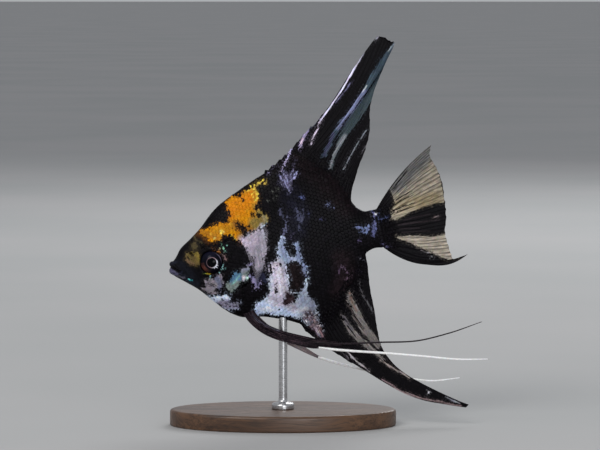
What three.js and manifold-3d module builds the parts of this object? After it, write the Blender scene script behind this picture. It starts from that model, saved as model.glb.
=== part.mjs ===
// Marble angelfish (Pterophyllum scalare, the black, white and gold marbled form): a still, life-size display
// model of an adult, swimming nose-down with its fins spread, on a flat base with one short rod.
//
// Units are millimetres. The fish is drawn in its own axes and then tipped and lifted on to the stand:
//   x runs from the snout (0) towards the tail, z runs up through the back, y runs to the fish's right.
// In the part's frame +X points towards the tail, +Z up, and the origin is the middle of the base's underside.

import * as THREE from "three";
import { mergeVertices } from "three/addons/utils/BufferGeometryUtils.js";
import Module from "manifold-3d";

const wasm = await Module();
wasm.setup();

// ---------------------------------------------------------------------------------------------------------
// Driving dimensions

const STANDARD_LENGTH = 80; // snout to the base of the tail fin
const PITCH_DEG = 10.5; // how far the fish swims nose-down
const SNOUT_HEIGHT = 58.5; // of the snout over the floor
const SNOUT_AHEAD = 42; // of the rod, measured along the floor
const GAP = 0.3; // between pieces that meet

const RIDGE_HALF = 0.7; // half-thickness of the keel of the back and the belly, where the fins sit
const MEMBRANE_HALF = 0.26; // half-thickness of a fin between its rays
const RAY_HALF = 0.48; // half-thickness of a fin at a ray, near its root
const TIP_SHARE = 0.34; // of those that is left at a ray's tip

// Outline of the body alone, without fins, as [x, z].
const BACK = [
  [1.2, 1.7],
  [3.1, 3.6],
  [5.1, 6.2],
  [9.4, 9.2],
  [13.8, 12.5],
  [18.3, 16.7],
  [22.7, 19.9],
  [30.9, 23.9],
  [38.4, 27.2],
  [45.0, 29.5],
  [51.0, 30.5],
  [57.0, 29.3],
  [63.0, 25.0],
  [68.0, 17.8],
  [72.6, 9.0],
  [75.5, 7.5],
  [80.0, 7.6],
];
const BELLY = [
  [1.2, -2.6],
  [5.4, -6.3],
  [9.1, -9.8],
  [13.9, -15.4],
  [17.0, -18.8],
  [20.0, -21.2],
  [23.4, -22.8],
  [30.5, -23.6],
  [39.6, -27.0],
  [45.0, -29.5],
  [49.0, -29.7],
  [54.0, -27.7],
  [60.0, -23.1],
  [66.0, -16.7],
  [72.8, -7.7],
  [76.1, -6.7],
  [80.0, -7.1],
];
// Half-width of the body at its thickest, as [x, y].
const HALF_WIDTH = [
  [1.2, 1.9],
  [3.0, 2.7],
  [6.0, 3.9],
  [10.0, 5.0],
  [16.0, 6.2],
  [22.0, 6.9],
  [29.0, 7.2],
  [36.0, 7.0],
  [44.0, 6.3],
  [54.0, 5.0],
  [64.0, 3.7],
  [72.0, 2.8],
  [80.0, 1.9],
];
// How lens-like a section is: 1 is an ellipse, more is thinner towards the back and the belly.
const LENS = [
  [1.2, 1.0],
  [8.0, 1.1],
  [16.0, 1.3],
  [34.0, 1.42],
  [60.0, 1.45],
  [80.0, 1.1],
];

// Where the head meets the trunk, from the nape down behind the gill covers to the throat, as [x, z].
const NAPE_LINE = [
  [20.2, 24.0],
  [23.0, 15.5],
  [24.4, 9.0],
  [24.8, 3.0],
  [24.2, -3.0],
  [21.6, -8.0],
  [17.6, -11.0],
  [13.4, -12.0],
  [10.8, -11.4],
  [8.8, -9.9],
  [5.6, -11.4],
];
// Outline of a gill cover: up its free rear edge from the throat, then down its seam with the cheek.
const GILL_COVER = [
  [13.2, -12.9],
  [16.6, -13.3],
  [20.4, -12.9],
  [24.4, -11.8],
  [28.2, -10.2],
  [30.6, -7.4],
  [31.0, -3.6],
  [29.5, 1.3],
  [27.2, 5.0],
  [24.4, 6.9],
  [22.0, 6.2],
  [21.3, 2.0],
  [20.9, -3.0],
  [19.3, -7.6],
  [15.9, -10.9],
];
const GILL_COVER_THICKNESS = 0.9;
const GILL_SWELL = 0.55; // how far the gill cover stands out over the trunk

const STALK_START = 71.5; // where the trunk ends and the tail stalk begins

// Fins. Each row is a ray: where its root sits, where its tip is, how far it bows off a straight line, as a
// share of its length, towards the tail or, if negative, towards the head, and 1 if its tip is at the fin's edge.
const DORSAL_RAYS = [
  [38.8, 41.4, 29.2, 0.0, 1],
  [41.6, 47.2, 32.0, 0.0, 1],
  [44.4, 52.4, 35.4, 0.0, 1],
  [47.0, 58.0, 40.0, 0.01, 1],
  [49.4, 65.8, 45.6, 0.03, 1],
  [51.6, 91.3, 70.2, 0.07, 1],
  [54.2, 95.5, 67.8, 0.06, 1],
  [57.2, 97.2, 66.8, 0.04, 1],
  [60.0, 92.7, 60.4, 0.02, 1],
  [62.2, 91.1, 58.0, 0.01, 1],
  [64.2, 86.0, 49.8, -0.01, 1],
  [66.0, 83.6, 44.0, -0.02, 1],
  [67.6, 82.2, 36.7, -0.04, 1],
  [69.1, 79.4, 30.0, -0.05, 1],
  [70.4, 76.0, 24.6, -0.055, 1],
  [71.5, 73.5, 19.8, -0.065, 1],
];
// The rays marked 0 run on into the long lobe, which is a piece of its own.
const ANAL_RAYS = [
  [43.6, 45.4, -32.6, 0.0, 1],
  [45.8, 49.4, -37.0, 0.01, 1],
  [48.0, 53.3, -41.2, 0.015, 1],
  [50.0, 57.4, -44.9, 0.02, 1],
  [51.8, 60.2, -47.2, 0.02, 0],
  [54.0, 63.4, -47.0, 0.02, 0],
  [56.2, 66.6, -46.8, 0.02, 0],
  [58.4, 69.8, -46.6, 0.02, 0],
  [60.6, 73.0, -46.4, 0.02, 0],
  [62.6, 72.3, -44.2, 0.015, 1],
  [64.4, 71.6, -40.0, 0.01, 1],
  [66.4, 71.6, -35.0, 0.0, 1],
  [68.4, 71.8, -29.0, 0.0, 1],
  [70.3, 71.6, -21.6, 0.0, 1],
  [72.0, 71.9, -13.4, 0.0, 1],
];
// The lobe: points of its front edge and of its rear edge, from the fin to the tip.
const ANAL_LOBE = [
  [60.5, -47.5, 73.2, -46.7],
  [65.2, -51.7, 75.4, -50.6],
  [71.0, -56.9, 79.2, -55.0],
  [77.5, -62.1, 84.0, -59.1],
  [84.5, -66.0, 89.0, -62.9],
  [91.0, -68.4, 93.8, -66.3],
  [95.8, -70.1, 97.4, -68.7],
  [98.6, -71.0, 99.8, -70.1],
];
const LOBE_RAYS_START = 4 / 14; // share of the way along the anal fin's rays where the lobe's start
const LOBE_RAYS_END = 8 / 14;
const LOBE_SHARE = 0.62; // of the fin's thickness near its root that is left where the lobe starts
// The tail fin's rays root on the end of the tail stalk: the first number is the height there.
const CAUDAL_RAYS = [
  [7.1, 103.6, 27.1, -0.055, 1],
  [6.2, 102.4, 23.2, -0.04, 1],
  [5.0, 103.9, 18.6, -0.03, 1],
  [3.4, 105.1, 12.4, -0.02, 1],
  [1.4, 104.9, 5.4, -0.01, 1],
  [-0.8, 104.3, -0.2, 0.01, 1],
  [-2.8, 102.8, -6.0, 0.03, 1],
  [-4.6, 103.2, -11.0, 0.07, 1],
  [-5.8, 104.3, -16.2, 0.13, 1],
  [-6.6, 109.7, -15.3, 0.21, 1],
];
const DORSAL_RAY_COUNT = 31;
const ANAL_RAY_COUNT = 29;
const LOBE_RAY_COUNT = 9;
const CAUDAL_RAY_COUNT = 19;
const LONG_FIN_ROWS = [0, 0.07, 0.22, 0.4, 0.6, 0.8, 1];
const ROOT_DEPTH = 0.6; // how far a fin is run into the body before it is cut back
const FRAY = 0.7; // how far the membrane's edge draws back between two ray tips
const DORSAL_SWAY = 1.6; // sideways bend at the fins' far ends, towards the fish's right
const ANAL_SWAY = -1.4;
const ANAL_REACH = 60;
const CAUDAL_SWAY = 2.4;

// Pectoral fin of one side: a fan rooted behind the gill cover and held up and a little out.
const PECTORAL_ROOT = { top: [32.6, -9.4], bottom: [31.0, -12.6], outward: 6.2 };
const PECTORAL_TIPS = [
  [38.8, 8.2],
  [37.0, 10.2],
  [34.0, 9.8],
  [31.0, 8.2],
  [28.4, 5.0],
];
const PECTORAL_FLARE = 4.4; // how much further out the tips stand than the root
const PECTORAL_RAY_COUNT = 11;

// Pelvic fins: a narrow blade by its two edges, as [x, z], and the streamers that grow out of it. The right
// fin hangs lower than the left and has one streamer.
const LEFT_PELVIC = {
  upper: [
    [27.2, -18.5],
    [28.3, -23.0],
    [31.6, -27.4],
    [36.9, -31.3],
    [42.8, -33.9],
    [49.2, -36.2],
    [57.0, -38.4],
  ],
  lower: [
    [23.2, -19.5],
    [24.2, -25.0],
    [28.0, -29.8],
    [33.0, -33.8],
    [39.5, -37.0],
    [48.4, -39.6],
    [57.6, -39.7],
  ],
  streamers: [
    [
      [47.5, -36.4],
      [57.0, -38.6],
      [70.9, -40.6],
      [86.7, -42.6],
      [97.0, -41.9],
      [109.8, -39.9],
    ],
    [
      [44.5, -38.0],
      [52.0, -40.2],
      [71.6, -45.1],
      [85.2, -48.7],
      [99.6, -52.5],
      [109.5, -54.0],
    ],
  ],
};
const RIGHT_PELVIC = {
  upper: [
    [27.2, -18.5],
    [28.3, -23.0],
    [31.4, -28.2],
    [36.4, -33.2],
    [42.4, -37.2],
    [49.0, -41.6],
    [57.0, -46.6],
  ],
  lower: [
    [23.2, -19.5],
    [24.0, -25.4],
    [28.0, -31.0],
    [34.0, -35.6],
    [40.5, -39.4],
    [48.5, -43.8],
    [57.2, -48.0],
  ],
  streamers: [
    [
      [44.0, -39.8],
      [54.1, -45.7],
      [64.5, -51.0],
      [80.7, -56.9],
      [92.0, -59.4],
      [102.0, -59.9],
    ],
  ],
};
const PELVIC_RAY_COUNT = 6;
const PELVIC_CUT = 54; // where the blade ends and its streamers start
const PELVIC_SPLAY = [
  [23.0, 1.4],
  [27.0, 2.2],
  [31.0, 3.4],
  [37.0, 4.5],
  [45.0, 5.3],
  [60.0, 6.4],
  [85.0, 7.6],
  [112.0, 8.4],
]; // distance of the blade and the streamers from the fish's middle plane, by x
const STREAMER_HALF = 0.6; // half-thickness of a streamer where it leaves the blade
const STREAMER_TIP_HALF = 0.22;
const EYE = { x: 15.8, z: -0.4, radius: 4.1, outward: 5.35, turnDeg: 8 };
const EYE_SECTION = [
  [0, -2.6],
  [1.8, -2.3],
  [3.3, -1.4],
  [4.1, 0.1],
  [3.95, 0.85],
  [3.5, 1.3],
  [3.1, 1.42],
  [2.05, 1.75],
  [1.9, 1.68],
  [1.7, 1.9],
  [0.9, 2.08],
  [0, 2.13],
]; // radius and distance outward of the eye's middle
const SOCKET_RIM = { radius: 4.7, half: 0.65, outward: 0.25 };
const NOSTRIL = { x: 9.0, z: 4.0, outward: 4.15, radius: 0.5, rim: 0.95 };
const MOUTH = {
  corner: { x: 4.1, y: 2.6, z: -2.1 },
  front: { x: 1.05, z: 0.15 },
  upperLip: 1.0, // half-thickness of each lip in front
  lowerLip: 1.15,
  cut: 0.34, // opening of the mouth line
};

const BASE = { length: 84, width: 48, height: 6, bevel: 1.2 };
const ROD = { radius: 1.6, collarRadius: 4.2, collarHeight: 2.4 };

// ---------------------------------------------------------------------------------------------------------
// Small tools

const clamp01 = (t) => Math.min(1, Math.max(0, t));
const mix = (a, b, t) => a + (b - a) * t;
const smooth = (a, b, t) => THREE.MathUtils.smoothstep(t, a, b);

// A smooth curve through [x, value] points that never overshoots them (monotone cubic).
function profile(points) {
  const n = points.length;
  const width = points.slice(1).map((p, i) => p[0] - points[i][0]);
  const rise = points.slice(1).map((p, i) => (p[1] - points[i][1]) / width[i]);
  const slope = points.map((_, i) => {
    if (i === 0) return rise[0];
    if (i === n - 1) return rise[n - 2];
    if (rise[i - 1] * rise[i] <= 0) return 0;
    const before = 2 * width[i] + width[i - 1];
    const after = width[i] + 2 * width[i - 1];
    return (before + after) / (before / rise[i - 1] + after / rise[i]);
  });
  return (x) => {
    let i = 0;
    while (i < n - 2 && x > points[i + 1][0]) i++;
    const t = clamp01((x - points[i][0]) / width[i]);
    const [v0, v1, m0, m1] = [points[i][1], points[i + 1][1], slope[i] * width[i], slope[i + 1] * width[i]];
    return (
      v0 * (1 + 2 * t) * (1 - t) ** 2 +
      m0 * t * (1 - t) ** 2 +
      v1 * t * t * (3 - 2 * t) +
      m1 * t * t * (t - 1)
    );
  };
}

// A table of rows read as smooth columns: row(t) for t from 0, the first row, to 1, the last.
function table(rows) {
  const columns = rows[0].map((_, c) => profile(rows.map((row, i) => [i / (rows.length - 1), row[c]])));
  return (t) => columns.map((column) => column(t));
}

function geometryOf(vertices, triangles) {
  const geometry = new THREE.BufferGeometry();
  geometry.setAttribute("position", new THREE.Float32BufferAttribute(vertices.flat(), 3));
  geometry.setIndex(triangles.flat());
  return geometry;
}

function solidOf(geometry) {
  const bare = geometry.clone();
  bare.deleteAttribute("normal");
  bare.deleteAttribute("uv");
  const merged = mergeVertices(bare, 1e-4);
  const made = new wasm.Manifold(
    new wasm.Mesh({
      numProp: 3,
      vertProperties: new Float32Array(merged.getAttribute("position").array),
      triVerts: new Uint32Array(merged.getIndex().array),
    }),
  );
  return made;
}

// The largest closed body of a solid, without the scraps that a cut can leave.
function largestOf(solid) {
  return solid.decompose().reduce((best, body) => (body.volume() > best.volume() ? body : best));
}

function meshOf(name, shape, material) {
  let geometry = shape;
  if (!shape.isBufferGeometry) {
    const mesh = largestOf(shape).getMesh();
    geometry = new THREE.BufferGeometry();
    geometry.setAttribute("position", new THREE.BufferAttribute(new Float32Array(mesh.vertProperties), 3));
    geometry.setIndex(new THREE.BufferAttribute(new Uint32Array(mesh.triVerts), 1));
  }
  geometry.computeVertexNormals();
  const made = new THREE.Mesh(geometry, material);
  made.name = name;
  return made;
}

// ---------------------------------------------------------------------------------------------------------
// Body: a loft of upright sections, each a lens with a flat keel above and below

const back = profile(BACK);
const belly = profile(BELLY);
const halfWidth = profile(HALF_WIDTH);
const lens = profile(LENS);
const SECTION_STEPS = 12; // facets down each side of a section

// Half-width of the body at x, where share runs from 0 at the back's keel to 1 at the belly's.
function sideAt(x, share) {
  return RIDGE_HALF + (halfWidth(x) - RIDGE_HALF) * Math.sin(Math.PI * share) ** lens(x);
}

function heightAt(x, share) {
  return mix(back(x), belly(x), (1 - Math.cos(Math.PI * share)) / 2);
}

// The gill cover's own bulge, fading out forward, upward and downward.
function gillSwell(x, z) {
  return GILL_SWELL * smooth(11, 23, x) * (1 - smooth(3, 12, z)) * smooth(-17, -10, z);
}

// A closed loft over the stations xs, grown outward by grow, with the gill cover's swell if covered.
function bodyLoft(xs, grow = 0, covered = false) {
  const ring = 2 * (SECTION_STEPS + 1);
  const vertices = [];
  xs.forEach((x) => {
    const side = [];
    for (let i = 0; i <= SECTION_STEPS; i++) {
      const share = i / SECTION_STEPS;
      const z = heightAt(x, share) + grow * Math.cos(Math.PI * share);
      const swell = covered ? gillSwell(x, z) : 0;
      side.push([z, Math.max(0.1, sideAt(x, share) + grow + swell)]);
    }
    side.forEach(([z, y]) => vertices.push([x, -y, z]));
    side.reverse().forEach(([z, y]) => vertices.push([x, y, z]));
  });
  const triangles = [];
  for (let k = 0; k < xs.length - 1; k++) {
    for (let i = 0; i < ring; i++) {
      const [a, b] = [k * ring + i, k * ring + ((i + 1) % ring)];
      triangles.push([a, b, b + ring], [a, b + ring, a + ring]);
    }
  }
  const last = (xs.length - 1) * ring;
  for (let i = 0; i < SECTION_STEPS; i++) {
    const [left, right] = [i, ring - 1 - i];
    triangles.push([left, right, right - 1], [left, right - 1, left + 1]);
    triangles.push([last + left, last + right - 1, last + right], [last + left, last + left + 1, last + right - 1]);
  }
  return solidOf(geometryOf(vertices, triangles));
}

function stations(from, to, count) {
  return Array.from({ length: count + 1 }, (_, i) => mix(from, to, i / count));
}

// A block across the fish from y0 to y1, over an outline in the x-z plane.
function blockOver(outline, y0, y1) {
  const shape = new THREE.Shape(outline);
  const block = new THREE.ExtrudeGeometry(shape, { depth: y1 - y0, bevelEnabled: false });
  return solidOf(block.translate(0, 0, -y1).rotateX(Math.PI / 2));
}

// Everything on the right-hand side of a line from a to b in the x-z plane, half a gap clear of it.
function sideOfLine(a, b) {
  const far = 200;
  const along = new THREE.Vector2(b[0] - a[0], b[1] - a[1]).normalize();
  const right = new THREE.Vector2(along.y, -along.x);
  const corner = (lengthwise, sideways) =>
    new THREE.Vector2(a[0], a[1]).addScaledVector(along, lengthwise).addScaledVector(right, sideways);
  const outline = [corner(-far, GAP / 2), corner(far, GAP / 2), corner(far, far), corner(-far, far)];
  return blockOver(outline, -30, 30);
}

// A line of points moved to its right-hand side by distance, as seen going along it; closed lines wrap round.
function movedAside(line, distance, closed) {
  const n = line.length;
  return line.map((point, i) => {
    const before = line[closed ? (i + n - 1) % n : Math.max(0, i - 1)];
    const after = line[closed ? (i + 1) % n : Math.min(n - 1, i + 1)];
    const along = after.clone().sub(before).normalize();
    return new THREE.Vector2(point.x + along.y * distance, point.y - along.x * distance);
  });
}

// Everything ahead of the nape line, grown past it by grow.
function headRegion(grow) {
  const edge = new THREE.SplineCurve(NAPE_LINE.map(([x, z]) => new THREE.Vector2(x, z))).getPoints(40);
  const ahead = [new THREE.Vector2(-20, 60), ...movedAside(edge, -grow, false), new THREE.Vector2(-20, -60)];
  return blockOver(ahead, -30, 30);
}

// The reach of one gill cover, grown outward by grow; side is -1 for the fish's left and 1 for its right.
function coverBlock(side, grow) {
  const closed = new THREE.CatmullRomCurve3(
    GILL_COVER.map(([x, z]) => new THREE.Vector3(x, z, 0)),
    true,
  );
  const outline = closed.getSpacedPoints(46).slice(0, -1);
  const grown = movedAside(outline, grow, true);
  return side < 0 ? blockOver(grown, -30, -0.9) : blockOver(grown, 0.9, 30);
}

// ---------------------------------------------------------------------------------------------------------
// Head: lips, mouth line, eyes and nostrils

// A closed round-ended tube through points with a half-thickness at each, made of rings of sides facets.
function taperedTube(points, radii, steps, sides) {
  const path = new THREE.CatmullRomCurve3(points.map((p) => new THREE.Vector3(...p)));
  const radius = profile(radii);
  const frames = path.computeFrenetFrames(steps, false);
  const vertices = [];
  for (let k = 0; k <= steps; k++) {
    const centre = path.getPointAt(k / steps);
    const r = radius(k / steps);
    for (let i = 0; i < sides; i++) {
      const turn = (2 * Math.PI * i) / sides;
      const out = frames.normals[k].clone().multiplyScalar(Math.cos(turn) * r);
      out.addScaledVector(frames.binormals[k], Math.sin(turn) * r);
      vertices.push(centre.clone().add(out).toArray());
    }
  }
  const triangles = [];
  for (let k = 0; k < steps; k++) {
    for (let i = 0; i < sides; i++) {
      const [a, b] = [k * sides + i, k * sides + ((i + 1) % sides)];
      triangles.push([a, b, b + sides], [a, b + sides, a + sides]);
    }
  }
  const [start, end] = [vertices.length, vertices.length + 1];
  vertices.push(path.getPointAt(0).toArray(), path.getPointAt(1).toArray());
  for (let i = 0; i < sides; i++) {
    const next = (i + 1) % sides;
    triangles.push([start, next, i], [end, steps * sides + i, steps * sides + next]);
  }
  const made = solidOf(geometryOf(vertices, triangles));
  return made;
}

// One lip: a horseshoe round the snout from one corner of the mouth to the other, its ends sunk in the cheeks.
function lip(half, lift, forward) {
  const { corner, front } = MOUTH;
  const end = (side) => [corner.x + 0.8, side * (corner.y - 0.6), corner.z + lift * 0.25];
  const cheek = (side) => [corner.x - 0.5, side * corner.y, corner.z + 0.3 + lift * 0.5];
  const quarter = (side) => [front.x + 0.9, side * corner.y * 0.72, mix(front.z, corner.z, 0.3) + lift * 0.9];
  return taperedTube(
    [end(-1), cheek(-1), quarter(-1), [front.x + forward, 0, front.z + lift], quarter(1), cheek(1), end(1)],
    [
      [0, half * 0.3],
      [0.16, half * 0.62],
      [0.32, half * 0.92],
      [0.5, half],
      [0.68, half * 0.92],
      [0.84, half * 0.62],
      [1, half * 0.3],
    ],
    16,
    8,
  );
}

// The slot between the lips, from in front of the snout back to the corners of the mouth.
function mouthSlot() {
  const { corner, front, cut } = MOUTH;
  const slope = Math.atan2(corner.z - front.z, corner.x - front.x);
  const length = Math.hypot(corner.z - front.z, corner.x - front.x) + 2;
  const slot = new THREE.BoxGeometry(length, 12, cut);
  slot.translate(length / 2 - 2, 0, 0).rotateY(-slope);
  return solidOf(slot.translate(front.x, 0, front.z));
}

function ball(centre, radii, around, down) {
  const sphere = new THREE.SphereGeometry(1, around, down).rotateX(Math.PI / 2);
  return solidOf(sphere.scale(...radii).translate(...centre));
}

// A solid turned about an axis that points out of the fish's side at the eye, from [radius, height] points.
function turnedAtEye(section, side, steps) {
  const turned = new THREE.LatheGeometry(section.map(([r, h]) => new THREE.Vector2(r, h)), steps);
  turned.rotateX(side < 0 ? Math.PI : 0);
  turned.rotateZ(side * THREE.MathUtils.degToRad(EYE.turnDeg));
  turned.translate(EYE.x, side * EYE.outward, EYE.z);
  return solidOf(turned);
}

function eyeball(side) {
  return turnedAtEye(EYE_SECTION, side, 20);
}

// The hollow that an eye sits in, and the rim of skin round it.
function socket(side) {
  const r = EYE.radius + GAP;
  const hollow = [
    [0, -2.6 - GAP],
    [r * 0.5, -2.4 - GAP],
    [r * 0.85, -1.6 - GAP],
    [r, -0.3],
    [r, 6],
    [0, 6],
  ];
  return turnedAtEye(hollow, side, 24);
}

function socketRim(side) {
  const { radius, half, outward } = SOCKET_RIM;
  const ring = Array.from({ length: 9 }, (_, i) => {
    const turn = (2 * Math.PI * i) / 8;
    return [radius + half * Math.cos(turn), outward + 0.7 * half * Math.sin(turn)];
  });
  return turnedAtEye(ring, side, 24);
}

function head(region, whole) {
  const { x, z, outward, radius, rim } = NOSTRIL;
  let made = whole
    .intersect(region)
    .add(lip(MOUTH.upperLip, 1.0, 0))
    .add(lip(MOUTH.lowerLip, -1.5, -0.35))
    .subtract(mouthSlot());
  for (const side of [-1, 1]) {
    made = made.add(socketRim(side)).add(ball([x, side * (outward - 0.5), z], [rim, 0.75, rim * 0.9], 12, 8));
    made = made.subtract(socket(side));
    made = made.subtract(ball([x, side * outward, z], [radius * 1.1, radius * 1.8, radius], 8, 6));
  }
  return made;
}

// ---------------------------------------------------------------------------------------------------------
// Fins: a membrane with its rays raised on both faces

// A closed slab: middle(t, r) is a point of the mid-surface and half(t, r) the half-thickness there, along y.
// Both faces are split alike, so that they never cross.
function slab(ts, rs, middle, half) {
  const vertices = [];
  for (const side of [-1, 1]) {
    for (const t of ts) {
      for (const r of rs) {
        const [x, y, z] = middle(t, r);
        vertices.push([x, y + side * half(t, r), z]);
      }
    }
  }
  const [columns, rows] = [ts.length, rs.length];
  const back = columns * rows;
  const at = (c, r) => c * rows + r;
  const triangles = [];
  for (let c = 0; c < columns - 1; c++) {
    for (let r = 0; r < rows - 1; r++) {
      const [p, q, u, v] = [at(c, r), at(c + 1, r), at(c + 1, r + 1), at(c, r + 1)];
      triangles.push([p, q, u], [p, u, v]);
      triangles.push([back + p, back + u, back + q], [back + p, back + v, back + u]);
    }
  }
  const rim = [
    ...Array.from({ length: columns - 1 }, (_, c) => at(c, 0)),
    ...Array.from({ length: rows - 1 }, (_, r) => at(columns - 1, r)),
    ...Array.from({ length: columns - 1 }, (_, c) => at(columns - 1 - c, rows - 1)),
    ...Array.from({ length: rows - 1 }, (_, r) => at(0, rows - 1 - r)),
  ];
  rim.forEach((p, i) => {
    const q = rim[(i + 1) % rim.length];
    triangles.push([q, p, back + p], [q, back + p, back + q]);
  });
  const made = solidOf(geometryOf(vertices, triangles));
  return made.volume() > 0 ? made : solidOf(geometryOf(vertices, triangles.map(([a, b, c]) => [a, c, b])));
}

// Columns for count rays: one on each ray and one between each two.
function rayColumns(count) {
  return Array.from({ length: 2 * count - 1 }, (_, i) => i / (2 * count - 2));
}

// 1 on a ray and 0 midway between two.
const rayness = (t, count) => Math.abs(Math.cos(Math.PI * t * (count - 1)));

// Half-thickness of a fin: the membrane, the ray on it and, near the root, the fleshy base that meets the body.
function finHalf(t, r, count, rootHalf, tipShare = TIP_SHARE) {
  const taper = mix(1, tipShare, r);
  const body = mix(MEMBRANE_HALF, RAY_HALF, rayness(t, count) ** 2) * mix(taper, 1, 0.25 * (1 - r));
  return Math.max(body, mix(rootHalf, 0, smooth(0, 0.16, r)));
}

// The point at share r of a ray from root to tip that bows by bow of its length.
function rayPoint(root, tip, bow, r) {
  const along = [tip[0] - root[0], tip[1] - root[1]];
  const bulge = 4 * bow * r * (1 - r);
  return [root[0] + along[0] * r + along[1] * bulge, root[1] + along[1] * r - along[0] * bulge];
}

// How far a fin has bent aside at x, z, for a ray that roots at root.
function swayAt(x, z, root, sway, reach) {
  return sway * (Math.hypot(x - root[0], z - root[1]) / reach) ** 2;
}

// An unpaired fin. rootOf(first column of the row) gives the root point in the fish's middle plane.
function medianFin({ rows, count, rootOf, rootHalf, sway, reach }) {
  const ray = table(rows);
  const middle = (t, r) => {
    const [seat, tipX, tipZ, bow, free] = ray(t);
    const root = rootOf(seat);
    const length = Math.hypot(tipX - root[0], tipZ - root[1]);
    const drawn = 1 - (free * Math.min(FRAY, 0.2 * length) * (1 - rayness(t, count))) / length;
    const [x, z] = rayPoint(root, [tipX, tipZ], bow, r * drawn);
    return [x, swayAt(x, z, root, sway, reach), z];
  };
  const half = (t, r) => finHalf(t, r, count, rootHalf(t), mix(LOBE_SHARE, TIP_SHARE, ray(t)[4]));
  return slab(rayColumns(count), LONG_FIN_ROWS, middle, half);
}

// A point sunk under the body's keel: outline is back or belly, and side is 1 at the back and -1 at the belly.
function underKeel(outline, side) {
  const step = 0.2;
  return (x) => {
    const slope = (outline(x + step) - outline(x - step)) / (2 * step);
    const length = Math.hypot(1, slope);
    return [x + (side * ROOT_DEPTH * slope) / length, outline(x) - (side * ROOT_DEPTH) / length];
  };
}

function dorsalFin(flesh) {
  return medianFin({
    rows: DORSAL_RAYS,
    count: DORSAL_RAY_COUNT,
    rootOf: underKeel(back, 1),
    rootHalf: () => RIDGE_HALF,
    sway: DORSAL_SWAY,
    reach: 55,
  }).subtract(flesh);
}

function analFin(flesh) {
  return medianFin({
    rows: ANAL_RAYS,
    count: ANAL_RAY_COUNT,
    rootOf: underKeel(belly, -1),
    rootHalf: () => RIDGE_HALF,
    sway: ANAL_SWAY,
    reach: ANAL_REACH,
  }).subtract(flesh);
}

// The anal fin's lobe: its rays go on from those of the fin and run together at the tip.
function analLobe() {
  const edges = table(ANAL_LOBE);
  const ray = table(ANAL_RAYS);
  const rootOf = underKeel(belly, -1);
  const middle = (u, v) => {
    const [frontX, frontZ, rearX, rearZ] = edges(v);
    const [x, z] = [mix(frontX, rearX, u), mix(frontZ, rearZ, u)];
    const root = rootOf(ray(mix(LOBE_RAYS_START, LOBE_RAYS_END, u))[0]);
    return [x, swayAt(x, z, root, ANAL_SWAY, ANAL_REACH), z];
  };
  const half = (u, v) => {
    const relief = rayness(u, LOBE_RAY_COUNT) ** 2 * (1 - 0.6 * v);
    return mix(MEMBRANE_HALF, RAY_HALF, relief) * mix(LOBE_SHARE, TIP_SHARE, v);
  };
  return slab(rayColumns(LOBE_RAY_COUNT), stations(0, 1, 9), middle, half);
}

function caudalFin() {
  const [top, bottom] = [back(STANDARD_LENGTH), belly(STANDARD_LENGTH)];
  const seat = (t) => table(CAUDAL_RAYS)(t)[0];
  return medianFin({
    rows: CAUDAL_RAYS,
    count: CAUDAL_RAY_COUNT,
    rootOf: (z) => [STANDARD_LENGTH + GAP, z],
    rootHalf: (t) => {
      const share = Math.acos(1 - (2 * (top - seat(t))) / (top - bottom)) / Math.PI;
      return sideAt(STANDARD_LENGTH, share) * 0.95;
    },
    sway: CAUDAL_SWAY,
    reach: 30,
  });
}

function pectoralFin(side, flesh) {
  const { top, bottom, outward } = PECTORAL_ROOT;
  const tips = table(PECTORAL_TIPS);
  const middle = (t, r) => {
    const root = [mix(top[0], bottom[0], t), mix(top[1], bottom[1], t)];
    const [tipX, tipZ] = tips(t);
    const drawn = 1 - 0.03 * (1 - rayness(t, PECTORAL_RAY_COUNT));
    const [x, z] = rayPoint(root, [tipX, tipZ], 0.03, r * drawn);
    return [x, side * (outward + PECTORAL_FLARE * r ** 0.85), z];
  };
  const half = (t, r) => finHalf(t, r, PECTORAL_RAY_COUNT, 0.8);
  const fan = slab(rayColumns(PECTORAL_RAY_COUNT), [0, 0.12, 0.24, 0.42, 0.62, 0.82, 1], middle, half);
  return fan.subtract(flesh);
}

function streamer(points, side) {
  const splay = profile(PELVIC_SPLAY);
  const path = points.map(([x, z]) => [x, side * splay(x), z]);
  const radii = [
    [0, STREAMER_HALF * 0.6],
    [0.12, STREAMER_HALF],
    [0.5, STREAMER_HALF * 0.62],
    [1, STREAMER_TIP_HALF],
  ];
  return taperedTube(path, radii, 18, 6);
}

// A pelvic fin, whole: the blade with its streamers grown out of its far end.
function pelvicFin(side, flesh, form) {
  const splay = profile(PELVIC_SPLAY);
  const [upper, lower] = [table(form.upper), table(form.lower)];
  const middle = (t, r) => {
    const [above, below] = [upper(r), lower(r)];
    const x = mix(above[0], below[0], t);
    return [x, side * splay(x), mix(above[1], below[1], t)];
  };
  const half = (t, r) => {
    const ray = mix(MEMBRANE_HALF, RAY_HALF, rayness(t, PELVIC_RAY_COUNT) ** 2) * mix(1, 0.8, r);
    return Math.max(ray, mix(0.8, 0, smooth(0.05, 0.35, r)));
  };
  let made = slab(rayColumns(PELVIC_RAY_COUNT), stations(0, 1, 12), middle, half);
  form.streamers.forEach((points) => {
    made = made.add(streamer(points, side));
  });
  return made.subtract(flesh);
}

// The blade, cut off where the streamers start, and the streamers from the top one down.
function pelvicPieces(whole) {
  const [ahead, behind] = [
    [PELVIC_CUT, 0],
    [PELVIC_CUT, -1],
  ];
  const streamers = whole.intersect(sideOfLine(behind, ahead)).decompose();
  const middleHeight = (solid) => solid.boundingBox().min[2] + solid.boundingBox().max[2];
  streamers.sort((one, other) => middleHeight(other) - middleHeight(one));
  return { blade: whole.intersect(sideOfLine(ahead, behind)), streamers };
}

// ---------------------------------------------------------------------------------------------------------
// Stand

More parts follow.
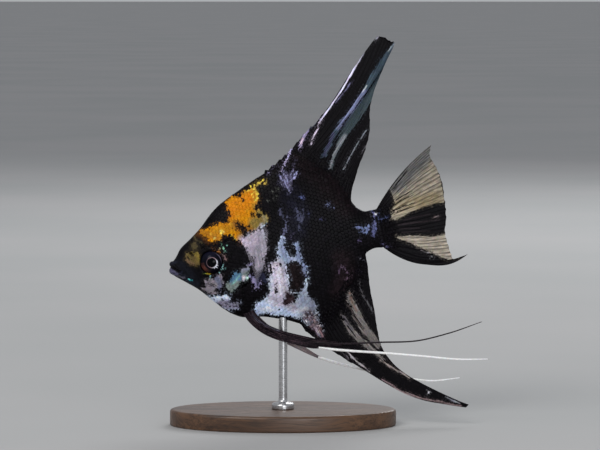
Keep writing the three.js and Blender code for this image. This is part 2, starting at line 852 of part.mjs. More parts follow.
function standBase() {
  const outline = new THREE.Shape();
  const { length, width, height, bevel } = BASE;
  outline.absellipse(0, 0, length / 2 - bevel, width / 2 - bevel, 0, 2 * Math.PI);
  const plate = new THREE.ExtrudeGeometry(outline, {
    depth: height - 2 * bevel,
    bevelThickness: bevel,
    bevelSize: bevel,
    bevelSegments: 2,
    curveSegments: 26,
  });
  return solidOf(plate.translate(0, 0, bevel));
}

// The rod and the collar at its foot, run up into the belly and cut back from it.
function standRod(flesh) {
  const foot = BASE.height + GAP;
  const top = SNOUT_HEIGHT;
  const { radius, collarRadius, collarHeight } = ROD;
  const profilePoints = [
    [0, foot],
    [collarRadius, foot],
    [collarRadius, foot + collarHeight * 0.6],
    [radius * 1.5, foot + collarHeight],
    [radius, foot + collarHeight * 1.6],
    [radius, top],
    [0, top],
  ].map(([r, z]) => new THREE.Vector2(r, z));
  const rod = new THREE.LatheGeometry(profilePoints, 20).rotateX(Math.PI / 2);
  return solidOf(rod).subtract(flesh);
}

// ---------------------------------------------------------------------------------------------------------
// The whole model

function finish(colour, roughness, metalness = 0) {
  return new THREE.MeshStandardMaterial({ color: new THREE.Color(...colour), roughness, metalness });
}

const skinColour = finish([0.12, 0.1, 0.11], 0.38);
const finColour = finish([0.16, 0.15, 0.16], 0.42);
const clearFinColour = finish([0.62, 0.6, 0.58], 0.45);
const eyeColour = finish([0.03, 0.03, 0.04], 0.1);
const baseColour = finish([0.3, 0.3, 0.31], 0.5);
const rodColour = finish([0.7, 0.7, 0.72], 0.3, 1);

const HEAD_STATIONS = [1.2, 2.0, 3.0, 4.2, 5.6, 7.2, ...stations(9, 33, 12)];
const TRUNK_STATIONS = stations(8, 73, 26);
const STALK_STATIONS = stations(70, STANDARD_LENGTH, 6);

const coveredBody = bodyLoft(HEAD_STATIONS, 0, true);
const coreBody = bodyLoft(HEAD_STATIONS, -GILL_COVER_THICKNESS);
const coreBodyApart = bodyLoft(HEAD_STATIONS, -GILL_COVER_THICKNESS - GAP);
const trunkBody = bodyLoft(TRUNK_STATIONS);
const stalkBody = bodyLoft(STALK_STATIONS);
const fleshAround = bodyLoft([0.6, ...stations(4, 73, 30), ...stations(75, STANDARD_LENGTH, 3)], GAP, true);

let headSolid = head(headRegion(0), coveredBody);
let trunkSolid = trunkBody.subtract(headRegion(GAP)).intersect(sideOfLine([STALK_START, 1], [STALK_START, 0]));
for (const side of [-1, 1]) {
  const underCover = coverBlock(side, GAP).subtract(coreBodyApart);
  headSolid = headSolid.subtract(underCover);
  trunkSolid = trunkSolid.subtract(underCover);
}

const fish = new THREE.Group();
fish.add(
  meshOf("head", headSolid, skinColour),
  meshOf("trunk", trunkSolid, skinColour),
  meshOf("tail_stalk", stalkBody.intersect(sideOfLine([STALK_START, 0], [STALK_START, 1])), skinColour),
  meshOf("dorsal_fin", dorsalFin(fleshAround), finColour),
  meshOf("anal_fin", analFin(fleshAround), finColour),
  meshOf("anal_fin_lobe", analLobe(), finColour),
  meshOf("caudal_fin", caudalFin(), clearFinColour),
);
for (const [word, side] of [
  ["left", -1],
  ["right", 1],
]) {
  fish.add(
    meshOf(`eye_${word}`, eyeball(side), eyeColour),
    meshOf(`gill_cover_${word}`, coveredBody.intersect(coverBlock(side, 0)).subtract(coreBody), skinColour),
    meshOf(`pectoral_fin_${word}`, pectoralFin(side, fleshAround), clearFinColour),
  );
}
const leftPelvic = pelvicPieces(pelvicFin(-1, fleshAround, LEFT_PELVIC));
const rightPelvic = pelvicPieces(pelvicFin(1, fleshAround, RIGHT_PELVIC));
fish.add(
  meshOf("pelvic_fin_left", leftPelvic.blade, finColour),
  meshOf("pelvic_streamer_left_upper", leftPelvic.streamers[0], finColour),
  meshOf("pelvic_streamer_left_lower", leftPelvic.streamers[1], clearFinColour),
  meshOf("pelvic_fin_right", rightPelvic.blade, finColour),
  meshOf("pelvic_streamer_right", rightPelvic.streamers[0], clearFinColour),
);

// Tipped nose-down about the snout and lifted over the base.
const pitch = THREE.MathUtils.degToRad(PITCH_DEG);
fish.rotation.y = -pitch;
fish.position.set(-SNOUT_AHEAD, 0, SNOUT_HEIGHT);
fish.updateMatrix();
const fleshInPlace = fleshAround.transform(fish.matrix.elements);

const part = new THREE.Group();
part.add(
  fish,
  meshOf("stand_base", standBase(), baseColour),
  meshOf("stand_rod", standRod(fleshInPlace), rodColour),
);

export default part;
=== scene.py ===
import math

import bpy
import numpy as np
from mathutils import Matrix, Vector
from mathutils.bvhtree import BVHTree


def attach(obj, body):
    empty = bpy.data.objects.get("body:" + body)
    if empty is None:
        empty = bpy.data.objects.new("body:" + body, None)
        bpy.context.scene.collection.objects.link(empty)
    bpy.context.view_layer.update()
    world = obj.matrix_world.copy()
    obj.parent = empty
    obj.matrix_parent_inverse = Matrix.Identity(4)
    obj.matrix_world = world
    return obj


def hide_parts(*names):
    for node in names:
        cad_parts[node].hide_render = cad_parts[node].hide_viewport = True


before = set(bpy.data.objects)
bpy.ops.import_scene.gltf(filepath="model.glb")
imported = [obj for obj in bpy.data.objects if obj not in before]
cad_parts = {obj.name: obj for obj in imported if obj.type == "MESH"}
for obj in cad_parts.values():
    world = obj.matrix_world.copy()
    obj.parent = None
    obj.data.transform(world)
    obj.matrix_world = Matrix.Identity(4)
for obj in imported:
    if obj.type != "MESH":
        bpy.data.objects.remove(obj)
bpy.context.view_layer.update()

# ------------------------------------------------------------------ real sizes, in mm
# The fish's own frame: x from the snout to the tail, y to the fish's right, z up.
MM = 0.001
STANDARD_LENGTH = 80.0
PITCH = math.radians(10.5)
SNOUT_HEIGHT = 58.5  # over the floor
SNOUT_AHEAD = 42.0  # of the middle of the base
RIDGE_HALF = 0.7  # half the thickness of the back and of the keel
COAT_DEPTH = 0.12  # how far the skin lies inside the solids, under the scales
SKIN_GRID = 0.2  # the grid on which the skin is made one mesh

# Outlines: x, and the height of the back, the height of the belly, and half the width.
BACK = [
    (1.2, 1.7), (3.1, 3.6), (5.1, 6.2), (9.4, 9.2), (13.8, 12.5), (18.3, 16.7), (22.7, 19.9),
    (30.9, 23.9), (38.4, 27.2), (45, 29.5), (51, 30.5), (57, 29.3), (63, 25), (68, 17.8),
    (72.6, 9), (75.5, 7.5), (80, 7.6),
]
BELLY = [
    (1.2, -3.35), (3.2, -5.0), (5.6, -6.95), (9.1, -9.95), (13.9, -15.4), (17, -18.8), (20, -21.3),
    (23.4, -23.1), (30.5, -24.2), (39.6, -27.3), (45, -29.5), (49, -29.7), (54, -27.7), (60, -23.1),
    (66, -16.7), (72.8, -7.7), (76.1, -6.7), (80, -7.1),
]
HALF_WIDTH = [
    (1.2, 1.9), (3, 2.7), (6, 3.9), (10, 5), (16, 6.2), (22, 6.9), (29, 7.2), (36, 7), (44, 6.3),
    (54, 5), (64, 3.7), (72, 2.8), (80, 1.9),
]
# The exponent of the side's curve: 1 gives an oval section, more a sharper one, like a lens.
SHARPNESS = [(1.2, 1.0), (8, 1.1), (16, 1.3), (34, 1.42), (60, 1.45), (80, 1.1)]
GILL_COVER_EDGE = [
    (13.2, -12.9), (16.6, -13.3), (20.4, -12.9), (24.4, -11.8), (28.2, -10.2), (30.6, -7.4),
    (31, -3.6), (29.5, 1.3), (27.2, 5), (24.4, 6.9), (22, 6.2),
]
CHEEK_EDGE = [(22, 6.2), (21.3, 2), (20.9, -3), (19.3, -7.6), (15.9, -10.9), (13.2, -12.9)]
GILL_SWELL = 0.55
GILL_GROOVE = {"depth": 0.26, "width": 0.24, "behind": 0.2}
CHEEK_GROOVE = {"depth": 0.14, "width": 0.3}
CHEEK_RIDGE = {"height": 0.10, "width": 0.7, "ahead": 0.9}

EYE = {"x": 15.8, "z": -0.4, "radius": 4.05, "outward": 5.35, "dome": 2.05}
EYE_TURN = math.radians(8)
EYE_SOCKET = {"inner": 4.02, "outer": 4.35, "floor": 1.2}
EYE_RIM = {"radius": 4.95, "height": 0.22, "width": 0.5}
EYE_MOAT = {"radius": 6.0, "depth": 0.12, "width": 0.5}
NOSTRIL = {"x": 9.0, "z": 4.0, "rim": 0.85, "rim_height": 0.28, "rim_width": 0.32, "pit": 1.0}
MOUTH_CORNER = (4.1, 2.6, -2.1)
MOUTH_FRONT = (1.05, 0.15)
MOUTH_CUT = 0.50
MOUTH_LINE = 0.24  # half the width of the line between the lips
LIPS = [(1.10, 1.00, 0.18), (0.95, -0.15, 0.15), (1.48, -1.40, 0.07)]  # each: half, lift, forward

# Each row: where the ray leaves the keel, its tip (x, z), its bow, and whether its tip is free.
DORSAL_RAYS = [
    (38.8, 41.4, 29.2, 0, 1), (41.6, 47.2, 32, 0, 1), (44.4, 52.4, 35.4, 0, 1),
    (47, 58, 40, 0.01, 1), (49.4, 65.8, 45.6, 0.03, 1), (51.6, 91.3, 70.2, 0.055, 1),
    (54.2, 95.5, 67.8, 0.06, 1), (57.2, 97.2, 66.8, 0.04, 1), (60, 92.7, 60.4, 0.02, 1),
    (62.2, 91.1, 58, 0.01, 1), (64.2, 86, 49.8, -0.01, 1), (66, 83.6, 44, -0.02, 1),
    (67.6, 82.2, 36.7, -0.04, 1), (69.1, 79.4, 30, -0.05, 1), (70.4, 76, 24.6, -0.055, 1),
    (71.5, 73.5, 19.8, -0.065, 1),
]
ANAL_RAYS = [
    (41.4, 45.2, -32.4, 0, 1), (44.8, 49.4, -37, 0.01, 1), (48, 53.3, -41.2, 0.015, 1),
    (50, 57.4, -44.9, 0.02, 1), (51.8, 60.2, -47.2, 0.02, 0), (54, 63.4, -47, 0.02, 0),
    (56.2, 66.6, -46.8, 0.02, 0), (58.4, 69.8, -46.6, 0.02, 0), (60.6, 73, -46.4, 0.02, 0),
    (62.6, 72.3, -44.2, 0.015, 1), (64.4, 71.6, -40, 0.01, 1), (66.4, 71.6, -35, 0, 1),
    (68.4, 71.8, -29, 0, 1), (70.3, 71.7, -21.6, 0, 1), (72.8, 72.3, -13, 0, 1),
]
# Each row: the front edge and the rear edge (x, z).
ANAL_LOBE = [
    (60.2, -47.2, 73, -46.4), (65.2, -51.7, 75.4, -50.6), (71, -56.9, 79.2, -55),
    (77.5, -62.1, 84, -59.1), (84.5, -66, 89, -62.9), (91, -68.4, 93.8, -66.3),
    (95.8, -70.1, 97.4, -68.7), (98.6, -71, 99.8, -70.1),
]
LOBE_START, LOBE_END = 4 / 14, 8 / 14  # between which of the fin's rays the lobe is
# Each row: the height of the ray's root on the tail stalk, and then as above.
CAUDAL_RAYS = [
    (7.1, 103.6, 27.1, -0.055, 1), (6.2, 102.4, 23.2, -0.04, 1), (5, 103.9, 18.6, -0.03, 1),
    (3.4, 105.1, 12.4, -0.02, 1), (1.4, 104.9, 5.4, -0.01, 1), (-0.8, 104.3, -0.2, 0.01, 1),
    (-2.8, 102.8, -6, 0.03, 1), (-4.6, 103.2, -11, 0.06, 1), (-5.8, 104.3, -16.2, 0.10, 1),
    (-6.6, 109.7, -15.3, 0.165, 1),
]
# How far a fin bends sideways, and how far from its root it has bent that much.
DORSAL_SWAY, ANAL_SWAY, CAUDAL_SWAY = (1.6, 55), (-1.4, 60), (2.4, 30)
DORSAL_COUNT, ANAL_COUNT, CAUDAL_COUNT, PECTORAL_COUNT, PELVIC_COUNT = 31, 29, 19, 11, 6
MEDIAN_FORK, PECTORAL_FORK, PELVIC_FORK = 0.35, 0.45, 0.6  # how far along a ray forks, as a share
WEB_HALF, RAY_HALF = 0.14, 0.34  # half-thickness of a fin between its rays and on them
PECTORAL_ROOT = {"top": (32.6, -9.4), "bottom": (31.0, -12.6), "outward": 6.2}
PECTORAL_TIPS = [(38.8, 8.2), (37, 10.2), (34, 9.8), (31, 8.2), (28.4, 5)]
PECTORAL_FLARE = 4.2
PELVIC_SPLAY = [(23, 1.4), (27, 2.2), (31, 3.4), (37, 4.5), (45, 5.3), (60, 6.4), (85, 7.6), (112, 8.4)]
LEFT_PELVIC = {
    "upper": [
        (27.2, -18.5), (28.6, -22.6), (31.6, -26.6), (36.9, -30.1), (42.8, -32.8), (49.2, -35.4),
        (57, -38.1),
    ],
    "lower": [
        (23.2, -19.5), (24.7, -23.9), (28.3, -28.8), (33, -32.4), (39.5, -35.5), (48.4, -38.9),
        (57.6, -39.4),
    ],
}
RIGHT_PELVIC = {
    "upper": [
        (27.2, -18.5), (28.6, -22.8), (31.6, -27.4), (36.4, -32.4), (42.4, -37.3), (49, -43.3),
        (57, -47.6),
    ],
    "lower": [
        (23.4, -19.5), (24.9, -23.6), (28.6, -28.6), (34.2, -33.7), (40.8, -38.8), (48.5, -44.1),
        (57.2, -48.2),
    ],
}
RIGHT_BLADE_DARK_TO, RIGHT_BLADE_WHITE_FROM = 30, 49.6
DARK_STREAMER = [(47.5, -36.4), (57, -38.6), (70.9, -40.6), (86.7, -42.6), (97, -41.9), (109.8, -39.9)]
LEFT_WHITE_STREAMER = [
    (49, -38.6), (54, -40.2), (71.6, -44.7), (85.2, -48.3), (99.6, -52.2), (109.5, -53.9),
]
RIGHT_WHITE_STREAMER = [
    (48, -43.2), (54.1, -46.4), (64.5, -51.3), (80.7, -57.8), (90, -60.2), (98.5, -60.7),
]
STREAMER_IN = 1.3  # how far the right streamer lies in from the line of its blade
BODY_SCALE, FIN_SCALE = 1.45, 1.15  # from one scale to the next
SCALE_ROW = 0.866  # from one row of scales to the next, as a share of that
COAT_X = (6.0, 80.6)
FIN_COAT_X, FIN_COAT_HEIGHT = (39.5, 73.0), (3.6, 7.6)
TAIL_COAT_Z, TAIL_COAT_LENGTH = (-6.6, 7.6), (3.4, 7.4)
BARE_EYE, BARE_SNOUT, BARE_COVER_EDGE = 5.6, 11.5, 1.2
BASE = {"length": 84.0, "width": 48.0, "height": 6.0, "bevel": 1.2}
ROD = {"radius": 1.6, "collar": 4.2, "collar_height": 2.4, "top": 42.5, "gap": 0.05}


# ------------------------------------------------------------------ small helpers
# Positions on the photograph, in its pixels, are turned into real sizes with these.
PHOTO_SNOUT = (169.5, 268.0)
PHOTO_STEP = 0.37  # mm for each pixel
PHOTO_WIDTH = 600


def to_world(points):
    """Fish frame in mm to the model's frame in metres."""
    x, y, z = np.asarray(points, float).T
    c, s = math.cos(PITCH), math.sin(PITCH)
    return np.stack([x * c - z * s - SNOUT_AHEAD, y, x * s + z * c + SNOUT_HEIGHT], 1) * MM


def upright(points):
    """The stand's own points, in mm, to metres."""
    return np.asarray(points) * MM


def traced(points):
    """Positions on the photograph, turned into the fish frame in mm."""
    p = np.asarray(points, float)
    across, up = (p[:, 0] - PHOTO_SNOUT[0]) * PHOTO_STEP, (PHOTO_SNOUT[1] - p[:, 1]) * PHOTO_STEP
    c, s = math.cos(PITCH), math.sin(PITCH)
    return np.stack([across * c + up * s, -across * s + up * c], 1)


def profile(points):
    """A smooth curve through points that never overshoots them."""
    x, y = np.asarray(points, float).T
    h, d = np.diff(x), np.diff(y) / np.diff(x)
    m = np.zeros_like(x)
    same = d[:-1] * d[1:] > 0
    w1, w2 = 2 * h[1:] + h[:-1], h[1:] + 2 * h[:-1]
    safe = np.where(same, d[:-1], 1.0), np.where(same, d[1:], 1.0)
    m[1:-1] = np.where(same, (w1 + w2) / (w1 / safe[0] + w2 / safe[1]), 0.0)
    m[0], m[-1] = d[0], d[-1]

    def at(t):
        t = np.clip(np.asarray(t, float), x[0], x[-1])
        k = np.clip(np.searchsorted(x, t, side="right") - 1, 0, len(x) - 2)
        u = (t - x[k]) / h[k]
        a, b = (1 + 2 * u) * (1 - u) ** 2, u * u * (3 - 2 * u)
        return a * y[k] + b * y[k + 1] + h[k] * (u * (1 - u) ** 2 * m[k] + u * u * (u - 1) * m[k + 1])

    return at


def table(rows):
    """One curve for each column of rows, all of them run through from 0 to 1."""
    columns = np.asarray(rows, float).T
    share = np.linspace(0, 1, columns.shape[1])
    curves = [profile(np.stack([share, c], 1)) for c in columns]
    return lambda t: [curve(t) for curve in curves]


def mix(a, b, t):
    return a + (b - a) * t


def smooth(a, b, t):
    u = np.clip((np.asarray(t, float) - a) / (b - a), 0, 1)
    return u * u * (3 - 2 * u)


def srgb(r, g, b):
    """A colour read on the 0 to 255 scale, as light."""
    c = np.array([r, g, b]) / 255.0
    return np.where(c <= 0.04045, c / 12.92, ((c + 0.055) / 1.055) ** 2.4)


back, belly = profile(BACK), profile(BELLY)
half_width, sharpness = profile(HALF_WIDTH), profile(SHARPNESS)


def side_at(x, share):
    """Half the body's width. share runs from 0 at the back to 1 at the belly."""
    return RIDGE_HALF + (half_width(x) - RIDGE_HALF) * np.sin(np.pi * share) ** sharpness(x)


def height_at(x, share):
    return mix(back(x), belly(x), (1 - np.cos(np.pi * share)) / 2)


def grid_faces(rows, columns, wrap=False):
    """Four-cornered faces between the points of a grid, closed into a tube by wrap."""
    r, c = np.meshgrid(np.arange(rows - 1), np.arange(columns if wrap else columns - 1), indexing="ij")
    n = (c + 1) % columns
    a, b = r * columns + c, r * columns + n
    return np.stack([a, b, b + columns, a + columns], -1).reshape(-1, 4)


def mesh_from(name, points, faces):
    mesh = bpy.data.meshes.new(name)
    faces = [np.asarray(f, np.int32) for f in (faces if isinstance(faces, list) else [faces])]
    faces = [f for f in faces if len(f)]
    sizes = np.concatenate([np.full(len(f), f.shape[1]) for f in faces])
    corners = np.concatenate([f.ravel() for f in faces])
    mesh.vertices.add(len(points))
    mesh.vertices.foreach_set("co", np.ascontiguousarray(points, np.float32).ravel())
    mesh.loops.add(len(corners))
    mesh.loops.foreach_set("vertex_index", corners)
    mesh.polygons.add(len(sizes))
    mesh.polygons.foreach_set("loop_start", np.concatenate([[0], np.cumsum(sizes)[:-1]]).astype(np.int32))
    mesh.update(calc_edges=True)
    mesh.polygons.foreach_set("use_smooth", np.ones(len(sizes), bool))
    return mesh


def add_object(name, mesh):
    made = bpy.data.objects.new(name, mesh)
    bpy.context.scene.collection.objects.link(made)
    return made


def piece(name, points, faces, material, fields=None, nodes=(), placed=to_world):
    """A finished piece: its mesh in place, its fields, its material and what it stands for."""
    mesh = mesh_from(name, placed(points), faces)
    for key, values in (fields or {}).items():
        set_field(mesh, key, values)
    made = add_object(name, mesh)
    mesh.materials.append(material)
    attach(made, "root")
    if nodes:
        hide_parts(*nodes)
    return made


def set_field(mesh, name, values):
    values = np.asarray(values, np.float32)
    if values.ndim == 1:
        mesh.attributes.new(name, "FLOAT", "POINT").data.foreach_set("value", values)
    else:
        full = np.ones((len(values), 4), np.float32)
        full[:, :3] = values
        mesh.attributes.new(name, "FLOAT_COLOR", "POINT").data.foreach_set("color", full.ravel())


def coordinates(mesh):
    got = np.empty(len(mesh.vertices) * 3, np.float32)
    mesh.vertices.foreach_get("co", got)
    return got.reshape(-1, 3).astype(float)


def apply_modifiers(made):
    """Works the object's modifiers into its mesh."""
    old = made.data
    made_up = made.evaluated_get(bpy.context.evaluated_depsgraph_get())
    worked = bpy.data.meshes.new_from_object(made_up)
    made.modifiers.clear()
    made.data = worked
    bpy.data.meshes.remove(old)


# ------------------------------------------------------------------ markings
def in_outline(x, z, outline):
    """Distance to a closed outline, positive inside."""
    best = np.full(x.shape, 1e9)
    inside = np.zeros(x.shape, bool)
    for (ax, az), (bx, bz) in zip(outline, np.roll(outline, -1, 0)):
        ex, ez = bx - ax, bz - az
        wx, wz = x - ax, z - az
        t = np.clip((wx * ex + wz * ez) / (ex * ex + ez * ez + 1e-12), 0, 1)
        best = np.minimum(best, (wx - ex * t) ** 2 + (wz - ez * t) ** 2)
        if abs(bz - az) > 1e-9:
            inside ^= ((az > z) != (bz > z)) & (x < (bx - ax) * (z - az) / (bz - az) + ax)
    return np.where(inside, 1, -1) * np.sqrt(best)


def in_stroke(x, z, line, widths):
    """Distance to a line with width, positive inside. widths runs along the line."""
    line = np.asarray(line, float)
    widths = np.interp(np.linspace(0, 1, len(line)), np.linspace(0, 1, len(widths)), widths)
    best = np.full(x.shape, -1e9)
    if len(line) == 1:
        return widths[0] / 2 - np.hypot(x - line[0][0], z - line[0][1])
    for k in range(len(line) - 1):
        (ax, az), (bx, bz) = line[k], line[k + 1]
        ex, ez = bx - ax, bz - az
        t = np.clip(((x - ax) * ex + (z - az) * ez) / (ex * ex + ez * ez + 1e-12), 0, 1)
        d = np.hypot(x - ax - ex * t, z - az - ez * t)
        best = np.maximum(best, mix(widths[k], widths[k + 1], t) / 2 - d)
    return best


# Closed outlines of the larger marks, as places on the photograph.
CROWN = [
    (198.8, 229.5), (203, 234), (207.7, 238), (208.6, 239.7), (214, 240.3), (220.3, 238.8), (222.9, 234),
    (227.9, 233.3), (233, 234), (236.2, 238.4), (239.3, 240), (242.5, 243), (244, 236), (245, 233),
    (250, 232), (257.7, 228.3), (262.1, 225.7), (266.6, 222.6), (268.5, 218.1), (267.2, 213.7),
    (264, 213), (260.2, 209.3), (255.8, 208.6), (255.2, 205.5), (258.3, 201.7), (259.6, 196.6),
    (258.3, 191.5), (255.8, 187.1), (256.4, 183.6), (252, 186.5), (246.9, 189.6), (241.9, 193.4),
    (239.3, 196), (234.3, 196), (229.2, 196.9), (226.7, 199.1), (226, 203.6), (227.3, 208),
    (229.5, 211.8), (230.5, 216.9), (228.6, 220.7), (225.4, 222.6), (220.3, 223.2), (215.9, 224.5),
    (211.5, 225.7), (208.3, 228.3), (204.5, 229.5),
]
WHITE_BELLY = [
    (253.8, 313.9), (253.5, 310.1), (254.6, 307.1), (256.1, 303.4), (260.6, 299.7), (264.3, 297.1),
    (268, 294.5), (269.5, 291.5), (269.5, 287), (267.7, 283.3), (269.5, 280.3), (266.5, 277.3),
    (269.5, 274.3), (271.4, 271.3), (271.4, 266.8), (271, 263.1), (272.9, 260.5), (275.5, 259.7),
    (277.7, 257.1), (278.1, 253.4), (277, 249.7), (277.7, 244.4), (279.6, 241.4), (281.1, 236.2),
    (283, 235.1), (284.8, 237), (285.2, 240.7), (285.6, 244.4), (287.1, 248.9), (288.6, 252.6),
    (290.8, 254.5), (293.4, 255.3), (295.3, 252.6), (296, 248.9), (294.9, 245.2), (294.5, 242.2),
    (297.1, 240.3), (299.8, 242.2), (299.8, 246.7), (300.1, 250.4), (301.6, 254.1), (302, 258.6),
    (303.9, 262.3), (306.9, 265.3), (308.7, 269.1), (306.5, 273), (308.7, 277.3), (308.3, 281.8),
    (306.5, 286.2), (306.9, 290.7), (308.7, 295.9), (311.3, 298.9), (315.8, 301.2), (316.9, 303.4),
    (315.8, 307.1), (317.7, 311.6), (318.8, 317.6), (320.3, 322.8), (325, 333), (327, 341), (318, 338),
    (311.3, 327.3), (305.4, 324.3), (300.9, 319.1), (296.4, 316.9), (289.7, 316.9), (283.7, 316.1),
    (276.2, 314.8), (270.3, 313.9), (265.8, 313.1), (261.3, 314.6), (257.6, 316.1),
]
BELLY_HOLE = [
    (292.5, 260.2), (288, 262.5), (286.6, 268), (289, 275), (290, 282), (288.6, 286.5), (290.5, 289.5),
    (295.7, 292), (301.5, 289.5), (304.4, 283), (305.6, 275), (304.4, 270), (301.8, 264.8), (297, 260.6),
]
CHEEK_STREAK = [
    (224.7, 286.2), (226.2, 281.8), (229.9, 278.8), (232.2, 275), (233.7, 269.8), (236.7, 270.6),
    (239.7, 270.6), (243.4, 266.8), (248.6, 264.6), (249, 269.8), (247.9, 273.5), (249.4, 275.8),
    (247.9, 279.5), (241.9, 281), (238.9, 284.7), (234.4, 290), (228.5, 293), (229.2, 289.2),
]
JAW_PATCH = [
    (205, 279), (214, 277), (220, 273), (223, 274), (224, 281), (222, 287), (221, 292), (214, 294),
    (207, 291.5), (203, 288), (206, 286),
]
CHEST_PATCH = [
    (206, 295.5), (214, 295.5), (222, 294), (228, 293.5), (230, 298), (228, 301), (233, 302),
    (240, 301), (238, 308), (230, 310), (224, 308), (217, 304), (211, 300),
]
PECTORAL_PALE = [
    (240.4, 237.7), (244.1, 244.1), (247.9, 248.9), (248.6, 251.9), (253.1, 256.4), (255.3, 260.9),
    (255.3, 265.3), (257.2, 269.8), (258.7, 272.8), (265.8, 268.3), (265.8, 262.3), (264.3, 257.9),
    (266.5, 252.6), (267.7, 246.7), (266.5, 240.7), (266.5, 234), (264.3, 228), (258.3, 228.9),
    (250, 232),
]
BACK_PATCH = [
    (283, 167), (286, 170), (288, 172), (294, 170), (294, 178), (292, 186), (290, 192.7), (286, 188),
    (281, 186), (278, 184), (279, 176),
]
OLIVE_SNOUT = [(186, 252), (196, 248), (201, 253), (202, 262), (198, 266), (190, 264), (185, 260)]
OLIVE_BROW = [(190, 243), (197, 240), (200, 247), (196, 250), (191, 248)]

# Colours, each on the 0 to 255 scale.
INK = (9, 7, 11)
ORANGE = (207, 134, 8)
GOLD = (140, 118, 58)
OLIVE_GOLD = (160, 138, 88)
RUST = (150, 70, 35)
PINK_WHITE = (220, 210, 228)
BLUE_WHITE = (200, 214, 236)
GREY_BLUE = (150, 158, 178)
DEEP_BLUE_GREY = (122, 130, 160)
LILAC = (146, 138, 176)
BRIGHT_LILAC = (200, 190, 232)
CHEEK_GREY = (118, 130, 132)
SEA_BLUE = (96, 136, 168)
TURQUOISE = (134, 186, 182)
JAW_GREY = (138, 130, 140)
CHEST_BLUE = (202, 216, 244)
FIN_PINK = (172, 166, 182)
FAINT_BLUE = (70, 72, 94)
BEIGE = (121, 116, 114)
# White dots painted where light glints on wet scales: painted highlights.
SPARKLE_HIGHLIGHT = (245, 245, 250)
WHITE = (252, 252, 252)
SMOKE = (44, 38, 42)

BODY_FRINGE = 0.26  # how mottled the outermost millimetre of a mark on the body is


class Paint:
    """Gathers marks one over the other: how deep inside a mark each point lies, and its colour.

    Depths are in mm, positive inside a mark.
    """

    def __init__(self, x, z, ground=INK):
        self.x, self.z = x, z
        self.mark = np.full(x.shape, -9.0)
        self.tint = np.tile(srgb(*ground), (len(x), 1))
        self.ground = np.tile(srgb(*ground), (len(x), 1))
        self.mottle = np.zeros(x.shape)

    def marks(self, rows):
        """Each row: what kind of mark, its line or outline on the photograph, widths, and its look.

        A line has a list of widths that runs along it. A closed outline has one number: how far it
        is grown.
        """
        how = {
            "lay": self.lay, "line": self.line, "dot": self.dot, "thread": self.thread, "wash": self.wash,
            "stain": self.stain, "speckle": self.speckle, "cut": self.cut, "crisp_cut": self.crisp_cut,
        }
        for kind, places, widths, *look in rows:
            if isinstance(widths, list):
                depth = in_stroke(self.x, self.z, traced(places), widths)
            else:
                depth = in_outline(self.x, self.z, traced(places)) + widths
            how[kind](depth, *look)

    def lay(self, depth, colour, feather=0.25, mottle=0.0):
        """A mark that covers what is under it."""
        over = smooth(-1.2, -0.6, depth) * (depth > self.mark - 0.2)
        over = np.where(self.mark < -0.6, smooth(-2.0, -1.0, depth), over)
        inside = smooth(-feather, feather, depth)
        blend = np.maximum(inside, over * (self.mark < 0))[:, None]
        self.tint = mix(self.tint, srgb(*colour), blend)
        self.mottle = mix(self.mottle, mottle, blend[:, 0])
        self.mark = np.maximum(self.mark, depth)

    def line(self, depth, colour, mottle=0.0):
        self.lay(depth, colour, 0.15, mottle)

    def dot(self, depth, colour):
        self.lay(depth, colour, 0.12)

    def thread(self, depth, colour, feather=0.4, mottle=0.0):
        """A fine line or dot with a crisp edge."""
        self.lay(3 * depth, colour, feather, mottle)

    def wash(self, depth, colour, feather=0.8, strength=1.0):
        """A change of colour inside marks that are there already."""
        share = smooth(-feather, feather, depth) * strength
        self.tint = mix(self.tint, srgb(*colour), share[:, None])

    def stain(self, depth, colour, feather=0.8, strength=1.0):
        """A faint colour in the black ground."""
        share = smooth(-feather, feather, depth) * strength
        self.ground = mix(self.ground, srgb(*colour), share[:, None])

    def speckle(self, depth, amount, feather=0.8):
        """Dark specks inside marks that are there already."""
        self.mottle = np.maximum(self.mottle, smooth(-feather, feather, depth) * amount)

    def cut(self, depth):
        """Takes marks away again, down to the black ground."""
        self.mark = np.minimum(self.mark, -depth)

    def crisp_cut(self, depth):
        self.cut(3 * depth)

    def fields(self, ragged=0.0):
        fringe = ragged * (1 - smooth(0.1, 1.5, self.mark)) * smooth(-0.2, 0.1, self.mark)
        return {
            "mark": self.mark,
            "tint": self.tint,
            "ground": self.ground,
            "mottle": np.maximum(self.mottle, fringe),
        }


